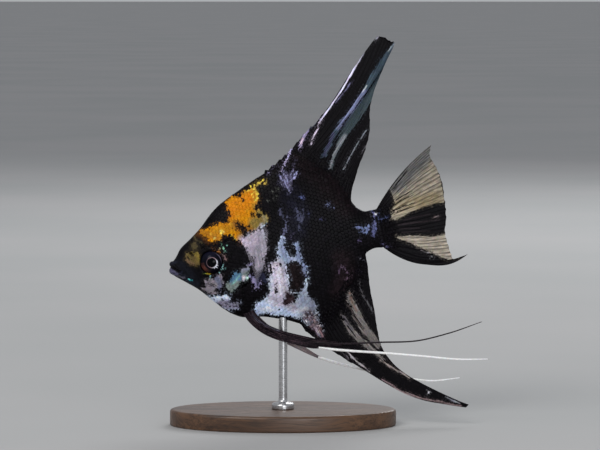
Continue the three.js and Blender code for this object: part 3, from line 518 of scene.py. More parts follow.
# The orange crown, and the olive brow and snout.
CROWN_MARKS = [
    ("lay", CROWN, 0.0, ORANGE, 0.25, 0.19),
    ("wash", [(262, 212), (268, 216), (262, 222), (256, 222)], [5], GOLD, 1.4),
    ("wash", [(258, 187), (259, 196), (256, 204)], [3], GOLD, 1.0),
    ("wash", [(240, 236), (252, 232), (262, 226)], [1.4], OLIVE_GOLD, 1.0),
    ("wash", [(246, 190), (252, 186), (256, 183)], [1.6], (214, 176, 60), 1.0, 0.8),
    ("wash", [(257, 190), (256, 198), (252, 204)], [1.4], (196, 160, 44), 0.9, 0.8),
    ("wash", [(233, 200), (244, 196)], [2.0], (228, 146, 20), 1.2, 0.8),
    ("wash", [(216, 232), (226, 228), (234, 224)], [3.0], (196, 132, 24), 1.4, 0.8),
    ("wash", [(202, 231), (210, 234), (218, 237)], [1.6], (160, 104, 34), 1.0, 0.7),
    ("speckle", [(244, 228), (254, 222), (262, 216)], [3.0], 0.27, 1.4),
    ("wash", [(264, 216), (266, 221), (262, 226)], [1.6], (140, 134, 104), 0.9, 0.8),
    ("speckle", [(250, 186), (257, 192), (257, 203)], [1.8], 0.28, 1.0),
    *[("wash", [at], [0.9], (238, 176, 52), 0.5, 0.7) for at in [
        (229, 204), (235, 208), (242, 203), (247, 209), (238, 215), (231, 223), (222, 229), (211, 233),
        (252, 196),
    ]],
    ("wash", [(225, 212), (240, 206), (250, 198)], [6], (213, 123, 2), 2.0, 0.7),
    ("wash", [(237, 224), (243, 228), (251, 231)], [3.2], (120, 76, 34), 1.2, 0.75),
    ("speckle", [(236, 222), (243, 228), (250, 232)], [3.4], 0.33, 0.9),
    ("cut", [(239, 223), (242, 227), (245.5, 230.5), (250, 233)], [0.9, 1.7, 1.3]),
    *[("cut", branch, [0.3, 0.75]) for branch in [
        [(236, 229.5), (241, 227)], [(238, 219.5), (240, 223.5)], [(243.5, 221.5), (243, 227)],
        [(249, 224.5), (244, 227.5)], [(243, 235), (244, 229)], [(248, 236), (246, 231)],
        [(253, 229.5), (248, 231)], [(234, 226), (239, 225)],
    ]],
    ("crisp_cut", [(241.5, 197), (243.5, 199), (243, 201)], [0.35]),
    ("cut", [(251, 212), (254, 214)], [1.0, 0.7]),
    ("cut", [(257, 213), (260, 215)], [0.9, 0.6]),
    ("line", [(256.4, 184.3), (261.3, 180.8), (264.7, 179.5)], [0.9, 0.7, 0.4], (190, 160, 70)),
    ("dot", [(265.5, 182.2)], [0.7], (190, 160, 70)),
    *[("thread", [at], [1.3 * size], (252, 222, 84)) for at, size in [
        ((251, 186.5), 0.5), ((253.5, 188.5), 0.7), ((254.5, 184.5), 0.6), ((256.5, 190.5), 0.5),
        ((257.5, 193.5), 0.8), ((257.5, 197), 0.7), ((255.5, 199.5), 0.6), ((252, 193.5), 0.5),
        ((253.5, 196.5), 0.5), ((248, 190), 0.5), ((259, 182.5), 0.6), ((262.5, 180.3), 0.6),
        ((250, 189.5), 0.35), ((254, 192), 0.35), ((221.5, 232), 0.6), ((223, 229.5), 0.4),
        ((235, 237.5), 0.4), ((231.5, 234), 0.4), ((214, 238), 0.35),
    ]],
    ("wash", [(262, 193.4)], [1.4], RUST, 0.4),
    *[("wash", [at], [0.7], (225, 205, 110), 0.25) for at in [
        (221, 230), (222.5, 233.5), (224, 231), (236, 238.5), (233, 236), (215, 237),
    ]],
    ("stain", [(198, 232), (204, 234), (208, 240)], [3, 2], (92, 56, 22), 1.2, 0.8),
    ("stain", OLIVE_SNOUT, 0.0, (50, 42, 26), 1.2, 0.9),
    ("stain", OLIVE_BROW, 0.0, (44, 38, 26), 1.2, 0.8),
    ("lay", OLIVE_SNOUT, -0.35, (100, 85, 50), 0.9, 0.26),
    ("lay", OLIVE_BROW, -0.45, (76, 66, 42), 0.9, 0.32),
    ("lay", [(194, 236), (197, 240), (203, 243)], [0.6, 0.9, 0.3], (70, 60, 36), 0.6, 0.34),
    ("wash", [(194, 251), (198, 254), (200, 258)], [1.8], (128, 110, 48), 0.9, 0.8),
    ("wash", [(187, 260), (190, 262), (193, 264)], [1.4], (108, 84, 66), 0.8, 0.8),
    ("cut", [(187, 256), (190, 259)], [0.5]),
    # Painted shade in the nostril's pit.
    ("wash", [(191.4, 252.9)], [0.9], (30, 26, 20), 0.25, 0.8),
    ("cut", [(195, 251), (193, 254)], [0.4]),
]

# Behind the head, under the pectoral fin.
GILL_MARKS = [
    ("lay", PECTORAL_PALE, 0.0, FIN_PINK, 0.25, 0.12),
    ("wash", [(258, 238), (259, 250), (261, 266)], [2.6], (146, 146, 158), 1.6, 0.85),
    ("wash", [(244, 239), (250, 244), (256, 238)], [3], (206, 188, 212), 1.4, 0.85),
    *[("wash", line, [0.4], (226, 208, 224), 0.2, 0.7) for line in [
        [(243, 242), (249, 237), (255, 232), (262, 225.5)], [(245, 244), (250, 242), (256, 240)],
        [(262, 238), (262.5, 248), (263, 256)],
    ]],
    *[("wash", line, [0.45], (138, 128, 142), 0.3, 0.6) for line in [
        [(252, 246), (254.5, 255), (257, 263)], [(259, 233), (259, 243), (260, 254)],
    ]],
    # A painted highlight: bluish-white light at the top of the pale patch.
    ("wash", [(262, 224), (265, 229), (265, 236)], [1.2], (190, 200, 220), 0.7, 0.7),
    *[("wash", line, [0.12, 0.22, 0.12], (226, 208, 222), 0.14, 0.8) for line in [
        [(242, 241), (248, 236.5), (255, 231), (261, 223)], [(245, 245.5), (253, 243.5), (261, 243)],
        [(244, 243), (250, 239.5), (256, 235)], [(256, 248), (257.5, 258), (261, 270)],
        [(260, 247), (261, 258), (263, 270)],
    ]],
    ("lay", [(260, 273), (266, 279)], [2.6, 2.0], (40, 42, 62), 0.6),
    ("line", [
        (250.9, 275), (255, 279), (258.3, 281.8), (257.5, 285), (255.3, 287),
    ], [1.6, 2.4, 1.6], LILAC),
    ("line", [(247, 264.6), (251, 263), (255, 261)], [0.6, 0.9, 0.6], LILAC),
    ("line", [(268.8, 264), (269, 270)], [0.5], DEEP_BLUE_GREY),
]

# Cheek, jaw and chest.
CHEEK_MARKS = [
    ("lay", CHEEK_STREAK, 0.0, CHEEK_GREY, 0.25, 0.06),
    ("wash", [(233, 277), (237, 272), (239, 276)], [3.6, 2.4], SEA_BLUE, 0.5),
    ("wash", [(226, 284), (230, 288), (236, 283)], [2.6], (128, 140, 136), 0.8),
    ("wash", [(243, 268), (247, 266)], [2.2], (140, 140, 160), 0.8),
    ("lay", [(232, 283), (235, 280.5), (237.5, 277), (240, 274)], [0.4, 0.6, 0.5, 0.3], TURQUOISE, 0.2),
    ("lay", JAW_PATCH, 0.0, JAW_GREY, 0.25, 0.16),
    ("wash", [(217, 277), (221, 283), (220, 289)], [2.0], (104, 108, 132), 0.8),
    ("speckle", [(208, 283), (216, 285), (217, 290)], [2.0], 0.4),
    ("cut", [(200, 288), (203, 291.5), (209, 293.5)], [1.0, 0.8, 0.4]),
    ("cut", [(215, 290), (218, 289)], [0.8]),
    ("lay", CHEST_PATCH, 0.0, CHEST_BLUE, 0.25, 0.08),
    ("wash", [(210, 297), (219, 299), (227, 296)], [1.8], (214, 230, 252), 0.8),
    *[("cut", vein, [0.15, 0.4, 0.2]) for vein in [
        [(214, 300), (220, 305)], [(222, 299), (228, 304)], [(229, 299), (236, 303)],
        [(226, 306), (238, 306)],
    ]],
    ("wash", [(222, 304), (236, 304)], [4], (150, 146, 170), 1.2),
    ("speckle", [(222, 302), (230, 306), (240, 303)], [3.2], 0.34),
    ("cut", [(222.5, 288), (226, 289), (228.5, 290.5)], [1.6, 2.2, 1.2]),
    ("cut", [(198, 290), (204, 293.5), (212, 295), (222, 293.8)], [0.9, 0.8, 0.5]),
]

# The white belly, its dark hole and the way down onto the anal fin.
BELLY_MARKS = [
    ("lay", WHITE_BELLY, 0.0, BLUE_WHITE, 0.25, 0.05),
    ("wash", [(276, 266), (279, 275), (279, 288), (276, 300)], [5.4, 5.4, 6], PINK_WHITE, 2.0),
    ("wash", [(283, 240), (284, 254), (289, 259)], [3.2], (142, 154, 184), 1.6),
    ("wash", [(297, 243), (299, 256), (306, 268)], [3.2], (134, 146, 180), 1.4),
    ("wash", [(303, 293), (303, 302), (305, 309)], [4.6], GREY_BLUE, 1.6),
    ("wash", [(312, 298), (313, 306), (312, 313)], [3.0], (122, 126, 146), 1.2, 0.9),
    ("wash", [(309, 316), (315, 324), (321, 334)], [4.5, 3.4, 3], (112, 88, 96), 2.0),
    # A paler blue-white band on the lower belly: partly its own colour, partly a painted highlight where
    # the belly turns down.
    ("wash", [(258, 312), (262, 304), (268, 306), (274, 311), (290, 314)], [3.6], (206, 223, 255), 1.4),
    ("wash", [(276, 300), (285, 300), (293, 308)], [3], (188, 182, 202), 1.2),
    ("speckle", [(310, 315), (316, 323), (323, 336)], [6, 5, 4], 0.42, 2.0),
    *[("thread", line, [0.3, 0.42, 0.2], (240, 222, 228)) for line in [
        [(313.5, 329), (317.5, 334.5)], [(315.7, 326.5), (319.5, 332.5)], [(318.8, 325.5), (322, 331.5)],
        [(317.5, 331.5), (320.5, 336)], [(314.5, 324), (316, 326.5)],
    ]],
    ("speckle", [(276, 272), (284, 281)], [3], 0.24),
    *[("wash", line, [size], (132, 118, 132), 0.8, 0.6) for line, size in [
        ([(284, 266), (283, 274)], 1.6), ([(286, 294), (294, 302)], 2.4), ([(277, 284), (277, 292)], 0.9),
        ([(294, 307), (301, 310)], 0.9), ([(272, 262), (282, 262)], 1.2), ([(287, 282), (286, 290)], 1.3),
    ]],
    *[("wash", line, [size], (240, 240, 252), 0.8, 0.55) for line, size in [
        ([(262, 309), (276, 309)], 1.3), ([(279, 268), (280, 280), (280, 292)], 1.5),
        ([(296, 311), (306, 308)], 1.2), ([(268, 301), (276, 304)], 1.2),
    ]],
    ("speckle", [(286, 306), (300, 312)], [3], 0.22),
    ("speckle", [(258, 301), (270, 296)], [1.5], 0.18),
    ("cut", [
        (258, 317), (266, 317), (275, 318), (285, 319.5), (295, 321.5), (301, 324.5),
    ], [0.9, 1.5, 1.5, 1.0, 1.0, 0.8]),
    ("cut", BELLY_HOLE, 0.18),
    ("stain", BELLY_HOLE, 0.0, (30, 21, 22), 0.8, 0.8),
    ("wash", [(288, 293), (290, 298), (286, 302)], [2.2], (96, 78, 88), 0.7, 0.85),
    ("stain", [(288, 293), (290, 298), (286, 302)], [3.4], (44, 30, 34), 0.8, 0.9),
    ("cut", [
        (285.5, 291), (290, 293), (294, 292), (297.5, 293), (298, 297), (296, 300), (295.5, 303),
        (292, 302), (289, 304.5), (284, 304), (282, 300.5), (285.5, 298), (286, 295),
    ], -0.1),
    ("speckle", [(287, 293), (291, 299), (285, 303)], [3.4], 0.24, 0.8),
    *[("cut", branch, [0.3, 0.8]) for branch in [
        [(287, 294), (290, 298)], [(290, 296), (292, 301)], [(285, 302), (289, 299)],
        [(295, 294), (291, 298)],
    ]],
    ("cut", [(287, 246), (290, 248), (291, 252)], [2.2, 3.0, 2.4]),
    ("cut", [(276.2, 283), (276.4, 291)], [0.5, 0.7]),
    ("crisp_cut", [(279.5, 309.2)], [0.55]),
    *[("cut", [at], [0.55]) for at in [(277, 263.5), (280, 263), (283, 264), (286, 263), (273.5, 267)]],
    ("line", [(303, 268), (305.5, 273), (307, 277)], [0.7], DEEP_BLUE_GREY),
    *[("wash", [start, end], [0.35, 0.55, 0.3], colour, 0.3, 0.9) for start, end, colour in [
        ((303, 312), (309, 321), (170, 172, 194)), ((308, 312), (313, 321), (158, 160, 186)),
        ((309, 319), (316, 332), (176, 156, 170)), ((313, 318), (320, 333), (206, 176, 184)),
        ((317, 320), (322, 331), (150, 112, 112)), ((316, 328), (320.5, 336), (236, 220, 226)),
        ((312, 310), (316, 316), (140, 150, 176)),
    ]],
    # Painted highlights: small glints of light on the belly's scales.
    *[("wash", [at], [size], SPARKLE_HIGHLIGHT, 0.25) for at, size in [
        ((306.5, 320.6), 0.9), ((309.5, 316.5), 0.8), ((315, 315.5), 0.8), ((267.5, 306.5), 1.0),
        ((263.5, 308), 0.6), ((269.5, 307.5), 0.9), ((312, 312), 0.5), ((304, 315), 0.5),
    ]],
]

# Lilac and blue flecks over the black flank and back.
FLANK_MARKS = [
    ("stain", [(300, 158), (318, 172), (334, 190), (345, 206)], [9, 10, 8], (24, 15, 18), 3.0, 0.6),
    ("stain", [(292, 196), (300, 216), (296, 232)], [7], (22, 22, 36), 2.5, 0.7),
    ("stain", [(342, 258), (346, 276), (340, 290)], [7], (32, 22, 26), 2.5, 0.7),
    ("line", [(291.5, 149), (289, 155), (286.5, 160)], [0.3, 0.42, 0.3], BRIGHT_LILAC),
    ("line", [(285.1, 163), (283, 167), (281.2, 170.5)], [0.35, 0.45, 0.5], BRIGHT_LILAC),
    ("lay", BACK_PATCH, -0.15, (112, 108, 142), 0.25, 0.44),
    ("line", [(295, 160), (294, 166), (292, 173)], [0.5, 0.5, 0.5], (112, 106, 138), 0.4),
    *[("line", line, [0.25, 0.4, 0.2], (158, 158, 200), 0.2) for line in [
        [(282, 172), (286, 176), (288, 183)], [(293, 170), (290, 176)], [(296, 176), (291, 180)],
        [(284, 178), (287, 186), (290, 192)], [(280, 175), (283, 181)], [(298, 171), (295, 174)],
    ]],
    ("line", [(270, 167), (274.6, 163.7)], [0.35, 0.3], BRIGHT_LILAC),
    ("dot", [(268.3, 172.7)], [0.4], LILAC),
    *[("lay", [at], [size], (84, 86, 82), 0.2, 0.3) for at, size in [
        ((273, 191), 0.8), ((276, 196), 0.9), ((278, 189), 0.6), ((274, 198), 0.6), ((268.5, 200), 0.5),
    ]],
    *[("lay", line, widths, colour, 0.15, 0.2) for line, widths, colour in [
        ([(280.5, 206), (281, 212), (283, 216)], [0.7, 1.0, 0.6], FAINT_BLUE),
        ([(286, 215.5), (288, 216)], [0.5], FAINT_BLUE),
        ([(295.5, 207), (298, 210), (299, 216), (301.5, 222)], [0.8, 0.9, 1.3, 0.7], FAINT_BLUE),
        ([(302.5, 208), (303.5, 214), (301.5, 219)], [0.5, 0.6], FAINT_BLUE),
        ([(296, 216), (298, 219)], [0.5, 0.7], FAINT_BLUE),
        ([(299.2, 225), (298.6, 230)], [0.7, 0.6], FAINT_BLUE),
        ([(286.5, 223), (285, 228), (284.4, 232.5)], [0.9, 0.8, 0.6], (98, 100, 128)),
        ([(286, 224), (288.5, 226)], [0.7, 0.5], (98, 100, 128)),
        ([(300.6, 196), (302.2, 197)], [0.8], (84, 92, 136)),
        ([(308, 213.3), (309, 213)], [0.6], (66, 70, 104)),
        ([(327.6, 202.5), (329, 205), (332, 207.4)], [0.5, 0.9, 0.4], (100, 106, 140)),
        ([(293, 234), (291.5, 237)], [0.7], (76, 70, 96)),
        ([(320, 218), (323, 219)], [0.4], (60, 60, 90)),
        ([(341, 266), (345, 269), (350, 276)], [0.5, 0.8, 0.6], (96, 78, 96)),
        ([(347, 278), (350, 274)], [0.6], (110, 88, 106)),
        ([(359, 240), (360, 240.6)], [0.5], (80, 70, 100)),
        ([(359, 271), (360, 271.5)], [0.5], (80, 70, 96)),
        ([(338, 272), (341, 268)], [0.5], (80, 64, 84)),
    ]],
    ("line", [
        (372.5, 211), (375.5, 213.5), (374.5, 217), (375, 222), (373.5, 228), (374, 234),
    ], [0.6, 1.3, 0.8, 0.9, 1.4, 1.1], (96, 100, 142)),
    # A painted highlight: a glint of light on a scale.
    ("dot", [(375.5, 213.5)], [1.0], SPARKLE_HIGHLIGHT),
    ("line", [(357, 226.5), (362, 227.5), (367.5, 228)], [0.5, 1.2, 1.0], (110, 122, 160)),
    ("line", [(367.5, 226), (367, 231)], [0.6], (110, 122, 160)),
    ("line", [(361, 231), (366, 233)], [0.5], (110, 122, 160)),
    ("line", [(379, 213), (379, 220), (384, 218), (391, 216)], [0.5, 0.6, 0.4], (76, 84, 124)),
    ("line", [(382, 243), (388, 247)], [0.3, 0.35], (78, 74, 104)),
    ("line", [(360, 259.3), (362.5, 260.6), (365.5, 259.6)], [0.3, 0.35, 0.25], (130, 130, 142)),
]

# Small flecks on the head, and painted highlights where light glints on it.
HEAD_FLECKS = [
    *[("thread", [at], [size * 0.85], TURQUOISE) for at, size in [
        ((225, 249.6), 0.95), ((226.4, 250.6), 0.6), ((228, 244), 0.6), ((223, 265), 0.7),
        ((221.5, 268), 0.5), ((225.4, 266.8), 0.6), ((219.5, 271), 0.4), ((211, 275), 0.5),
        ((212.5, 278), 0.4),
    ]],
    ("thread", [(221, 241.5), (223, 245), (225, 250)], [0.25, 0.32, 0.5], (130, 186, 156)),
    ("thread", [(227.5, 242.5), (228.5, 244.5)], [0.3, 0.4], (120, 170, 150)),
    ("thread", [(223.5, 263), (222.5, 266), (224.5, 268.5)], [0.3, 0.5, 0.3], (140, 186, 190)),
    ("thread", [(190, 279.4), (192.5, 279.8)], [0.7, 0.5], (46, 124, 134)),
    ("thread", [(188.3, 278.6), (190, 279)], [0.5, 0.35], (120, 214, 216)),
    ("line", [(177.5, 276.4), (181, 277), (185, 278)], [0.3, 0.5, 0.3], (92, 88, 100), 0.2),
    ("thread", [(204, 272.6), (206, 272.4)], [0.35], (120, 136, 62)),
    ("thread", [(207, 272.6), (209.5, 272.6), (213, 272)], [0.45, 0.55, 0.3], (150, 130, 34)),
    ("line", [(213, 249.3), (218, 249.8), (222, 251.8)], [0.25, 0.35, 0.3], (160, 100, 50)),
    ("line", [(222, 252), (224.5, 254.5), (226.5, 258)], [0.3, 0.5, 0.3], (120, 96, 96)),
    # A painted highlight: a bluish-white line of light at the top of the pale patch.
    ("thread", [(261.5, 226.5), (264, 224.8), (266.8, 222.2)], [0.45, 0.3, 0.4], (196, 216, 232)),
    # Painted highlights: white glints of light by the pectoral fin's base and on the chest.
    *[("wash", [at], [size], colour, 0.25) for at, size, colour in [
        ((244.1, 275.8), 1.3, (240, 225, 235)), ((247.9, 276.2), 1.1, (215, 250, 240)),
        ((243.5, 278.5), 0.7, (230, 215, 235)), ((217.5, 296.5), 0.8, SPARKLE_HIGHLIGHT),
        ((223, 295.3), 0.8, SPARKLE_HIGHLIGHT), ((226.5, 297), 0.7, SPARKLE_HIGHLIGHT),
    ]],
    # The lower lip's blue-grey: partly its own colour, partly a painted highlight.
    ("stain", [(169, 269.5), (173, 272), (177, 273.8)], [1.5, 1.7, 1.3], (88, 86, 112), 0.35, 0.95),
    ("stain", [(172.5, 272.4), (174.5, 273)], [0.5, 0.4], (34, 34, 48), 0.3, 0.8),
    ("stain", [(180, 273), (182.5, 271)], [0.5], (42, 44, 66), 0.4, 0.8),
    ("stain", [(171, 263), (175, 262)], [1.4], (30, 32, 44), 0.6, 0.8),
    ("stain", [(182, 276), (196, 284)], [2.0], (34, 40, 54), 1.2, 0.8),
    ("stain", [(180, 262), (196, 280)], [3], (24, 26, 34), 2.0, 0.8),
]

# The dorsal fin: its pale rays and its bright front edge.
DORSAL_MARKS = [
    ("lay", [
        (396, 41), (387, 51), (379, 60), (374, 70), (368, 80), (362, 90), (356, 100), (351, 108),
        (345, 115), (340, 121), (334, 130), (329, 140), (324, 150), (321, 158), (325, 158), (329, 150),
        (335, 141), (341, 131), (349, 121), (358, 110), (365, 100), (371, 90), (377, 79), (384, 69),
        (388, 60), (392, 51),
    ], 0.0, (58, 72, 84), 0.22, 0.1),
    ("wash", [(364, 92), (355, 105), (346, 118), (338, 128)], [1.6, 2.6, 2.4, 1.4], (116, 122, 156), 0.9),
    ("wash", [(333, 134), (328, 146), (324, 155)], [1.4, 1.4, 1.0], (66, 66, 92), 0.7),
    ("wash", [(396, 41), (388, 51)], [0.5], (150, 160, 172), 0.3),
    ("lay", [
        (382, 71), (377, 80), (370, 90), (362, 101), (355, 110), (348, 120), (343, 130), (338, 140),
        (335, 150), (331, 160), (328.5, 169), (332, 169), (334.5, 160), (338.5, 151), (343.5, 141),
        (351, 131), (360, 120), (367, 108), (372, 100), (376, 90), (381, 79),
    ], 0.0, (62, 74, 80), 0.22, 0.1),
    ("wash", [
        (345, 136), (338, 146), (333, 157), (330, 168),
    ], [1.3, 1.1, 0.9, 0.8], (136, 140, 146), 0.6),
    ("cut", [
        (383, 69), (376, 79), (370, 88), (362, 99), (355, 108), (348, 118), (341, 129), (333, 143),
    ], [0.25, 0.42, 0.42, 0.36, 0.36, 0.5, 0.7, 0.9]),
    ("line", [(291.5, 148), (289, 154), (287, 159)], [0.35, 0.45, 0.3], BRIGHT_LILAC),
    ("line", [(288, 150), (284.5, 154.5)], [0.3, 0.3], (130, 124, 160)),
    ("line", [(308, 130), (304, 136), (301.5, 141), (299.8, 149)], [0.9, 1.5, 1.2, 0.5], (160, 148, 184)),
    ("wash", [(302.5, 139), (301, 143)], [0.8], (224, 200, 222), 0.4),
    ("line", [(311, 128), (315, 122), (320, 117)], [0.5, 0.7, 0.4], (116, 122, 146)),
    ("line", [
        (311, 143.5), (314, 136), (318, 127), (321.5, 119.5),
    ], [0.25, 0.4, 0.5, 0.6], (214, 200, 222)),
    ("thread", [
        (321.3, 119.5), (325, 114), (329.3, 108.4), (334.2, 101), (339, 94), (343.7, 86.6), (348, 79.5),
        (353.7, 70), (359, 61), (363.6, 53), (365, 50.5),
    ], [0.45, 0.5, 0.55, 0.55, 0.5, 0.55, 0.55, 0.6, 0.6, 0.55, 0.5], (226, 222, 250), 0.3),
    ("line", [(334, 105), (340, 97), (346, 89), (351, 81)], [0.2, 0.28, 0.28, 0.2], (120, 116, 152), 0.3),
    ("line", [(365.5, 49), (371, 43), (378, 36.5)], [0.7, 0.6, 0.6], (132, 130, 140)),
    ("line", [(362.5, 92), (365, 88.5), (366.5, 86)], [0.3], (225, 230, 240)),
    ("line", [
        (369, 128), (362, 136.5), (357, 144), (353, 151), (348, 160), (344, 169),
    ], [0.3, 0.4, 0.45, 0.4, 0.45, 0.4], (112, 116, 124)),
    ("line", [(366, 146), (360, 155)], [0.3, 0.35], (84, 82, 88)),
]

# The anal fin and its lobe: beige rays, thin pale lines and the white front.
ANAL_MARKS = [
    ("lay", [
        (349.5, 290), (352.5, 293), (354, 299), (357.5, 307), (363, 318), (370, 329), (377, 339),
        (381.5, 346), (377.5, 350), (370, 342), (362, 332.5), (355, 320.5), (350, 309.5), (346, 302),
        (347, 295),
    ], 0.0, BEIGE, 0.2, 0.14),
    ("wash", [(347.5, 303), (354, 316), (363, 330)], [0.9, 1.0, 0.6], (74, 66, 64), 0.4),
    ("wash", [(350, 293), (352.5, 303), (357, 312)], [0.7, 0.7, 0.4], (128, 106, 96), 0.4),
    ("lay", [
        (341, 313), (345.5, 317), (350, 324), (357, 333), (366, 341), (377, 351), (386, 360), (383, 361),
        (370, 351), (360, 344), (352, 337), (346, 328), (342, 320),
    ], 0.0, BEIGE, 0.2, 0.16),
    ("wash", [(342, 314), (347, 323), (353, 332)], [1.3, 1.5, 0.8], (92, 88, 92), 0.5),
    ("cut", [(344, 318), (349, 328), (356, 337)], [0.25, 0.35, 0.2]),
    ("cut", [(350, 305), (356, 318), (364, 329)], [0.2, 0.3, 0.2]),
    ("line", [(381, 361), (390, 367), (400, 373), (410, 379)], [0.35, 0.5, 0.55, 0.4], (150, 138, 134)),
    ("line", [
        (359, 281), (361, 290), (364.5, 298), (369, 305), (373, 313),
    ], [0.35, 0.45, 0.35], (88, 86, 90)),
    ("line", [
        (348, 352.5), (351.5, 357), (356, 361), (361.5, 365.5), (370, 372),
    ], [0.4, 0.7, 0.6, 0.45, 0.4], (176, 168, 172)),
    ("line", [(341, 351), (345, 356), (349, 360)], [0.4, 0.4, 0.3], (104, 98, 104)),
    ("line", [
        (382, 380), (392, 386.5), (400, 391), (413, 396.5), (428, 400.5), (446, 404), (462, 406.5),
    ], [0.3, 0.5, 0.6, 0.6, 0.5, 0.45, 0.3], (142, 122, 124)),
    ("line", [(446, 398), (452, 400.5), (460, 404)], [0.3, 0.4, 0.2], (150, 150, 160)),
    # A painted highlight: a glint of light on the lobe.
    ("dot", [(429, 393)], [0.5], SPARKLE_HIGHLIGHT),
    ("lay", [
        (300, 312), (310, 311), (316, 316), (319, 325), (323, 333), (324, 339), (318, 337), (311, 329),
        (304, 321),
    ], -0.1, (118, 98, 108), 0.4, 0.34),
    *[("thread", [start, end], [0.3, 0.45, 0.2], colour, 0.4, 0.1) for start, end, colour in [
        ((310, 318), (317, 331), (160, 148, 160)), ((313.5, 318), (320, 332), (228, 190, 196)),
        ((316, 319), (322, 331), (150, 110, 108)), ((312, 324), (318, 334), (190, 182, 196)),
        ((316, 328), (320, 335), (248, 238, 240)), ((320, 331), (323, 337), (170, 128, 128)),
        ((318, 334), (321.5, 339), (150, 140, 170)), ((308, 322), (313, 330), (130, 120, 140)),
    ]],
]

# The tail fin: two pale fans with dark and bright rays.
CAUDAL_MARKS = [
    ("lay", [
        (390, 189), (397, 180), (408, 166), (420, 152), (434, 142), (431, 150), (432, 157), (436, 165),
        (441, 180), (445, 203), (435, 204), (425, 207), (415, 210), (405, 215), (397, 220), (391, 218),
        (392, 210), (395, 204), (393, 197),
    ], 0.0, (152, 143, 128), 0.25, 0.05),
    ("wash", [(396, 184), (412, 166), (428, 150)], [8], (102, 101, 100), 2.2),
    ("wash", [(400, 206), (418, 203), (436, 198)], [5], (150, 136, 108), 2.0),
    ("lay", [
        (396, 237), (410, 235.5), (420, 236), (430, 237), (438, 236), (446, 234), (452, 243), (458, 252),
        (459, 258), (449, 260), (440, 257), (432, 254), (425, 250), (418, 247), (410, 243), (402, 240),
    ], 0.0, (172, 162, 148), 0.25, 0.06),
    *[("cut", line, [0.4, 0.45, 0.2]) for line in [
        [(396, 200), (404, 195), (412, 191)], [(395, 205), (404, 199), (413, 195)],
        [(393, 211), (404, 206), (415, 203)], [(391, 214), (402, 210), (413, 207)],
        [(392, 190), (397, 183.5), (402, 177)], [(403, 175.5), (408, 169)],
    ]],
    *[("wash", line, [0.3, 0.35, 0.1], (206, 192, 168), 0.25) for line in [
        [(391, 216.5), (400, 213), (416, 207)], [(392, 213), (402, 207.5), (414, 202)],
        [(394, 208), (406, 200.5)], [(397, 200), (409, 191)], [(397, 196), (406, 187)],
        [(399, 218.5), (412, 213.5)],
    ]],
    *[("stain", line, [0.3, 0.5, 0.2], (52, 44, 48), 0.35) for line in [
        [(398, 225), (412, 223), (440, 220)], [(400, 229), (420, 228)], [(402, 232.5), (430, 231)],
        [(404, 220), (430, 214)],
    ]],
    ("speckle", [(408, 243), (425, 250), (440, 257)], [1.6], 0.45),
    ("speckle", [(405, 236), (430, 237)], [1.2], 0.35),
    # Painted highlights: glints of light on the tail fin.
    ("dot", [(428.5, 253.5)], [0.35], SPARKLE_HIGHLIGHT),
    ("dot", [(432, 257)], [0.25], SPARKLE_HIGHLIGHT),
    ("line", [(433.5, 218.5), (439, 216)], [0.1], (118, 104, 104), 0.2),
    ("line", [(421, 250.5), (430, 254)], [0.25, 0.3], (110, 104, 108)),
]

# A painted highlight along a ray of the left pelvic fin.
LEFT_BLADE_RAY_HIGHLIGHT = [
    ("line", [(252.5, 314.5), (258, 320), (266, 325), (279, 330)], [0.2, 0.28, 0.24, 0.15], (84, 82, 94)),
]

FIN_MARKS = {"dorsal": DORSAL_MARKS, "anal": ANAL_MARKS, "caudal": CAUDAL_MARKS}


def asymmetry(x, y, z):
    """The right side carries the same markings a little differently placed."""
    right = smooth(-0.4, 0.4, y)
    return x + right * 1.3 * np.sin(0.21 * z + 0.7), z + right * 1.1 * np.sin(0.17 * x + 2.1)


def body_markings(points):
    paint = Paint(*asymmetry(*points.T))
    for rows in (CROWN_MARKS, GILL_MARKS, CHEEK_MARKS, BELLY_MARKS, FLANK_MARKS, HEAD_FLECKS):
        paint.marks(rows)
    return paint.fields(BODY_FRINGE)


# ------------------------------------------------------------------ materials
# How fine each noise is, in cells for each metre.
BROAD_GRAIN, FINE_GRAIN, SPOT_GRAIN, HUE_GRAIN = 620.0, 1500.0, 2700.0, 900.0
VEIL_GRAIN, IRIS_GRAIN, FLOOR_GRAIN = 1800.0, 1500.0, 3.0

# Colours as light.
DEEPEST = (0.0070, 0.0045, 0.0052)
MOTE = (0.020, 0.017, 0.028)
# The colour of the small highlights painted into the marks.
PAINTED_GLINT_COLOUR = (0.75, 0.78, 0.85)
WOOD_DARK, WOOD_LIGHT = (0.030, 0.014, 0.008, 1), (0.165, 0.082, 0.040, 1)
STEEL_DARK, STEEL_LIGHT = (0.42, 0.42, 0.43), (0.62, 0.62, 0.63)
FLOOR_DARK, FLOOR_LIGHT = (0.42, 0.43, 0.43), (0.46, 0.46, 0.46)


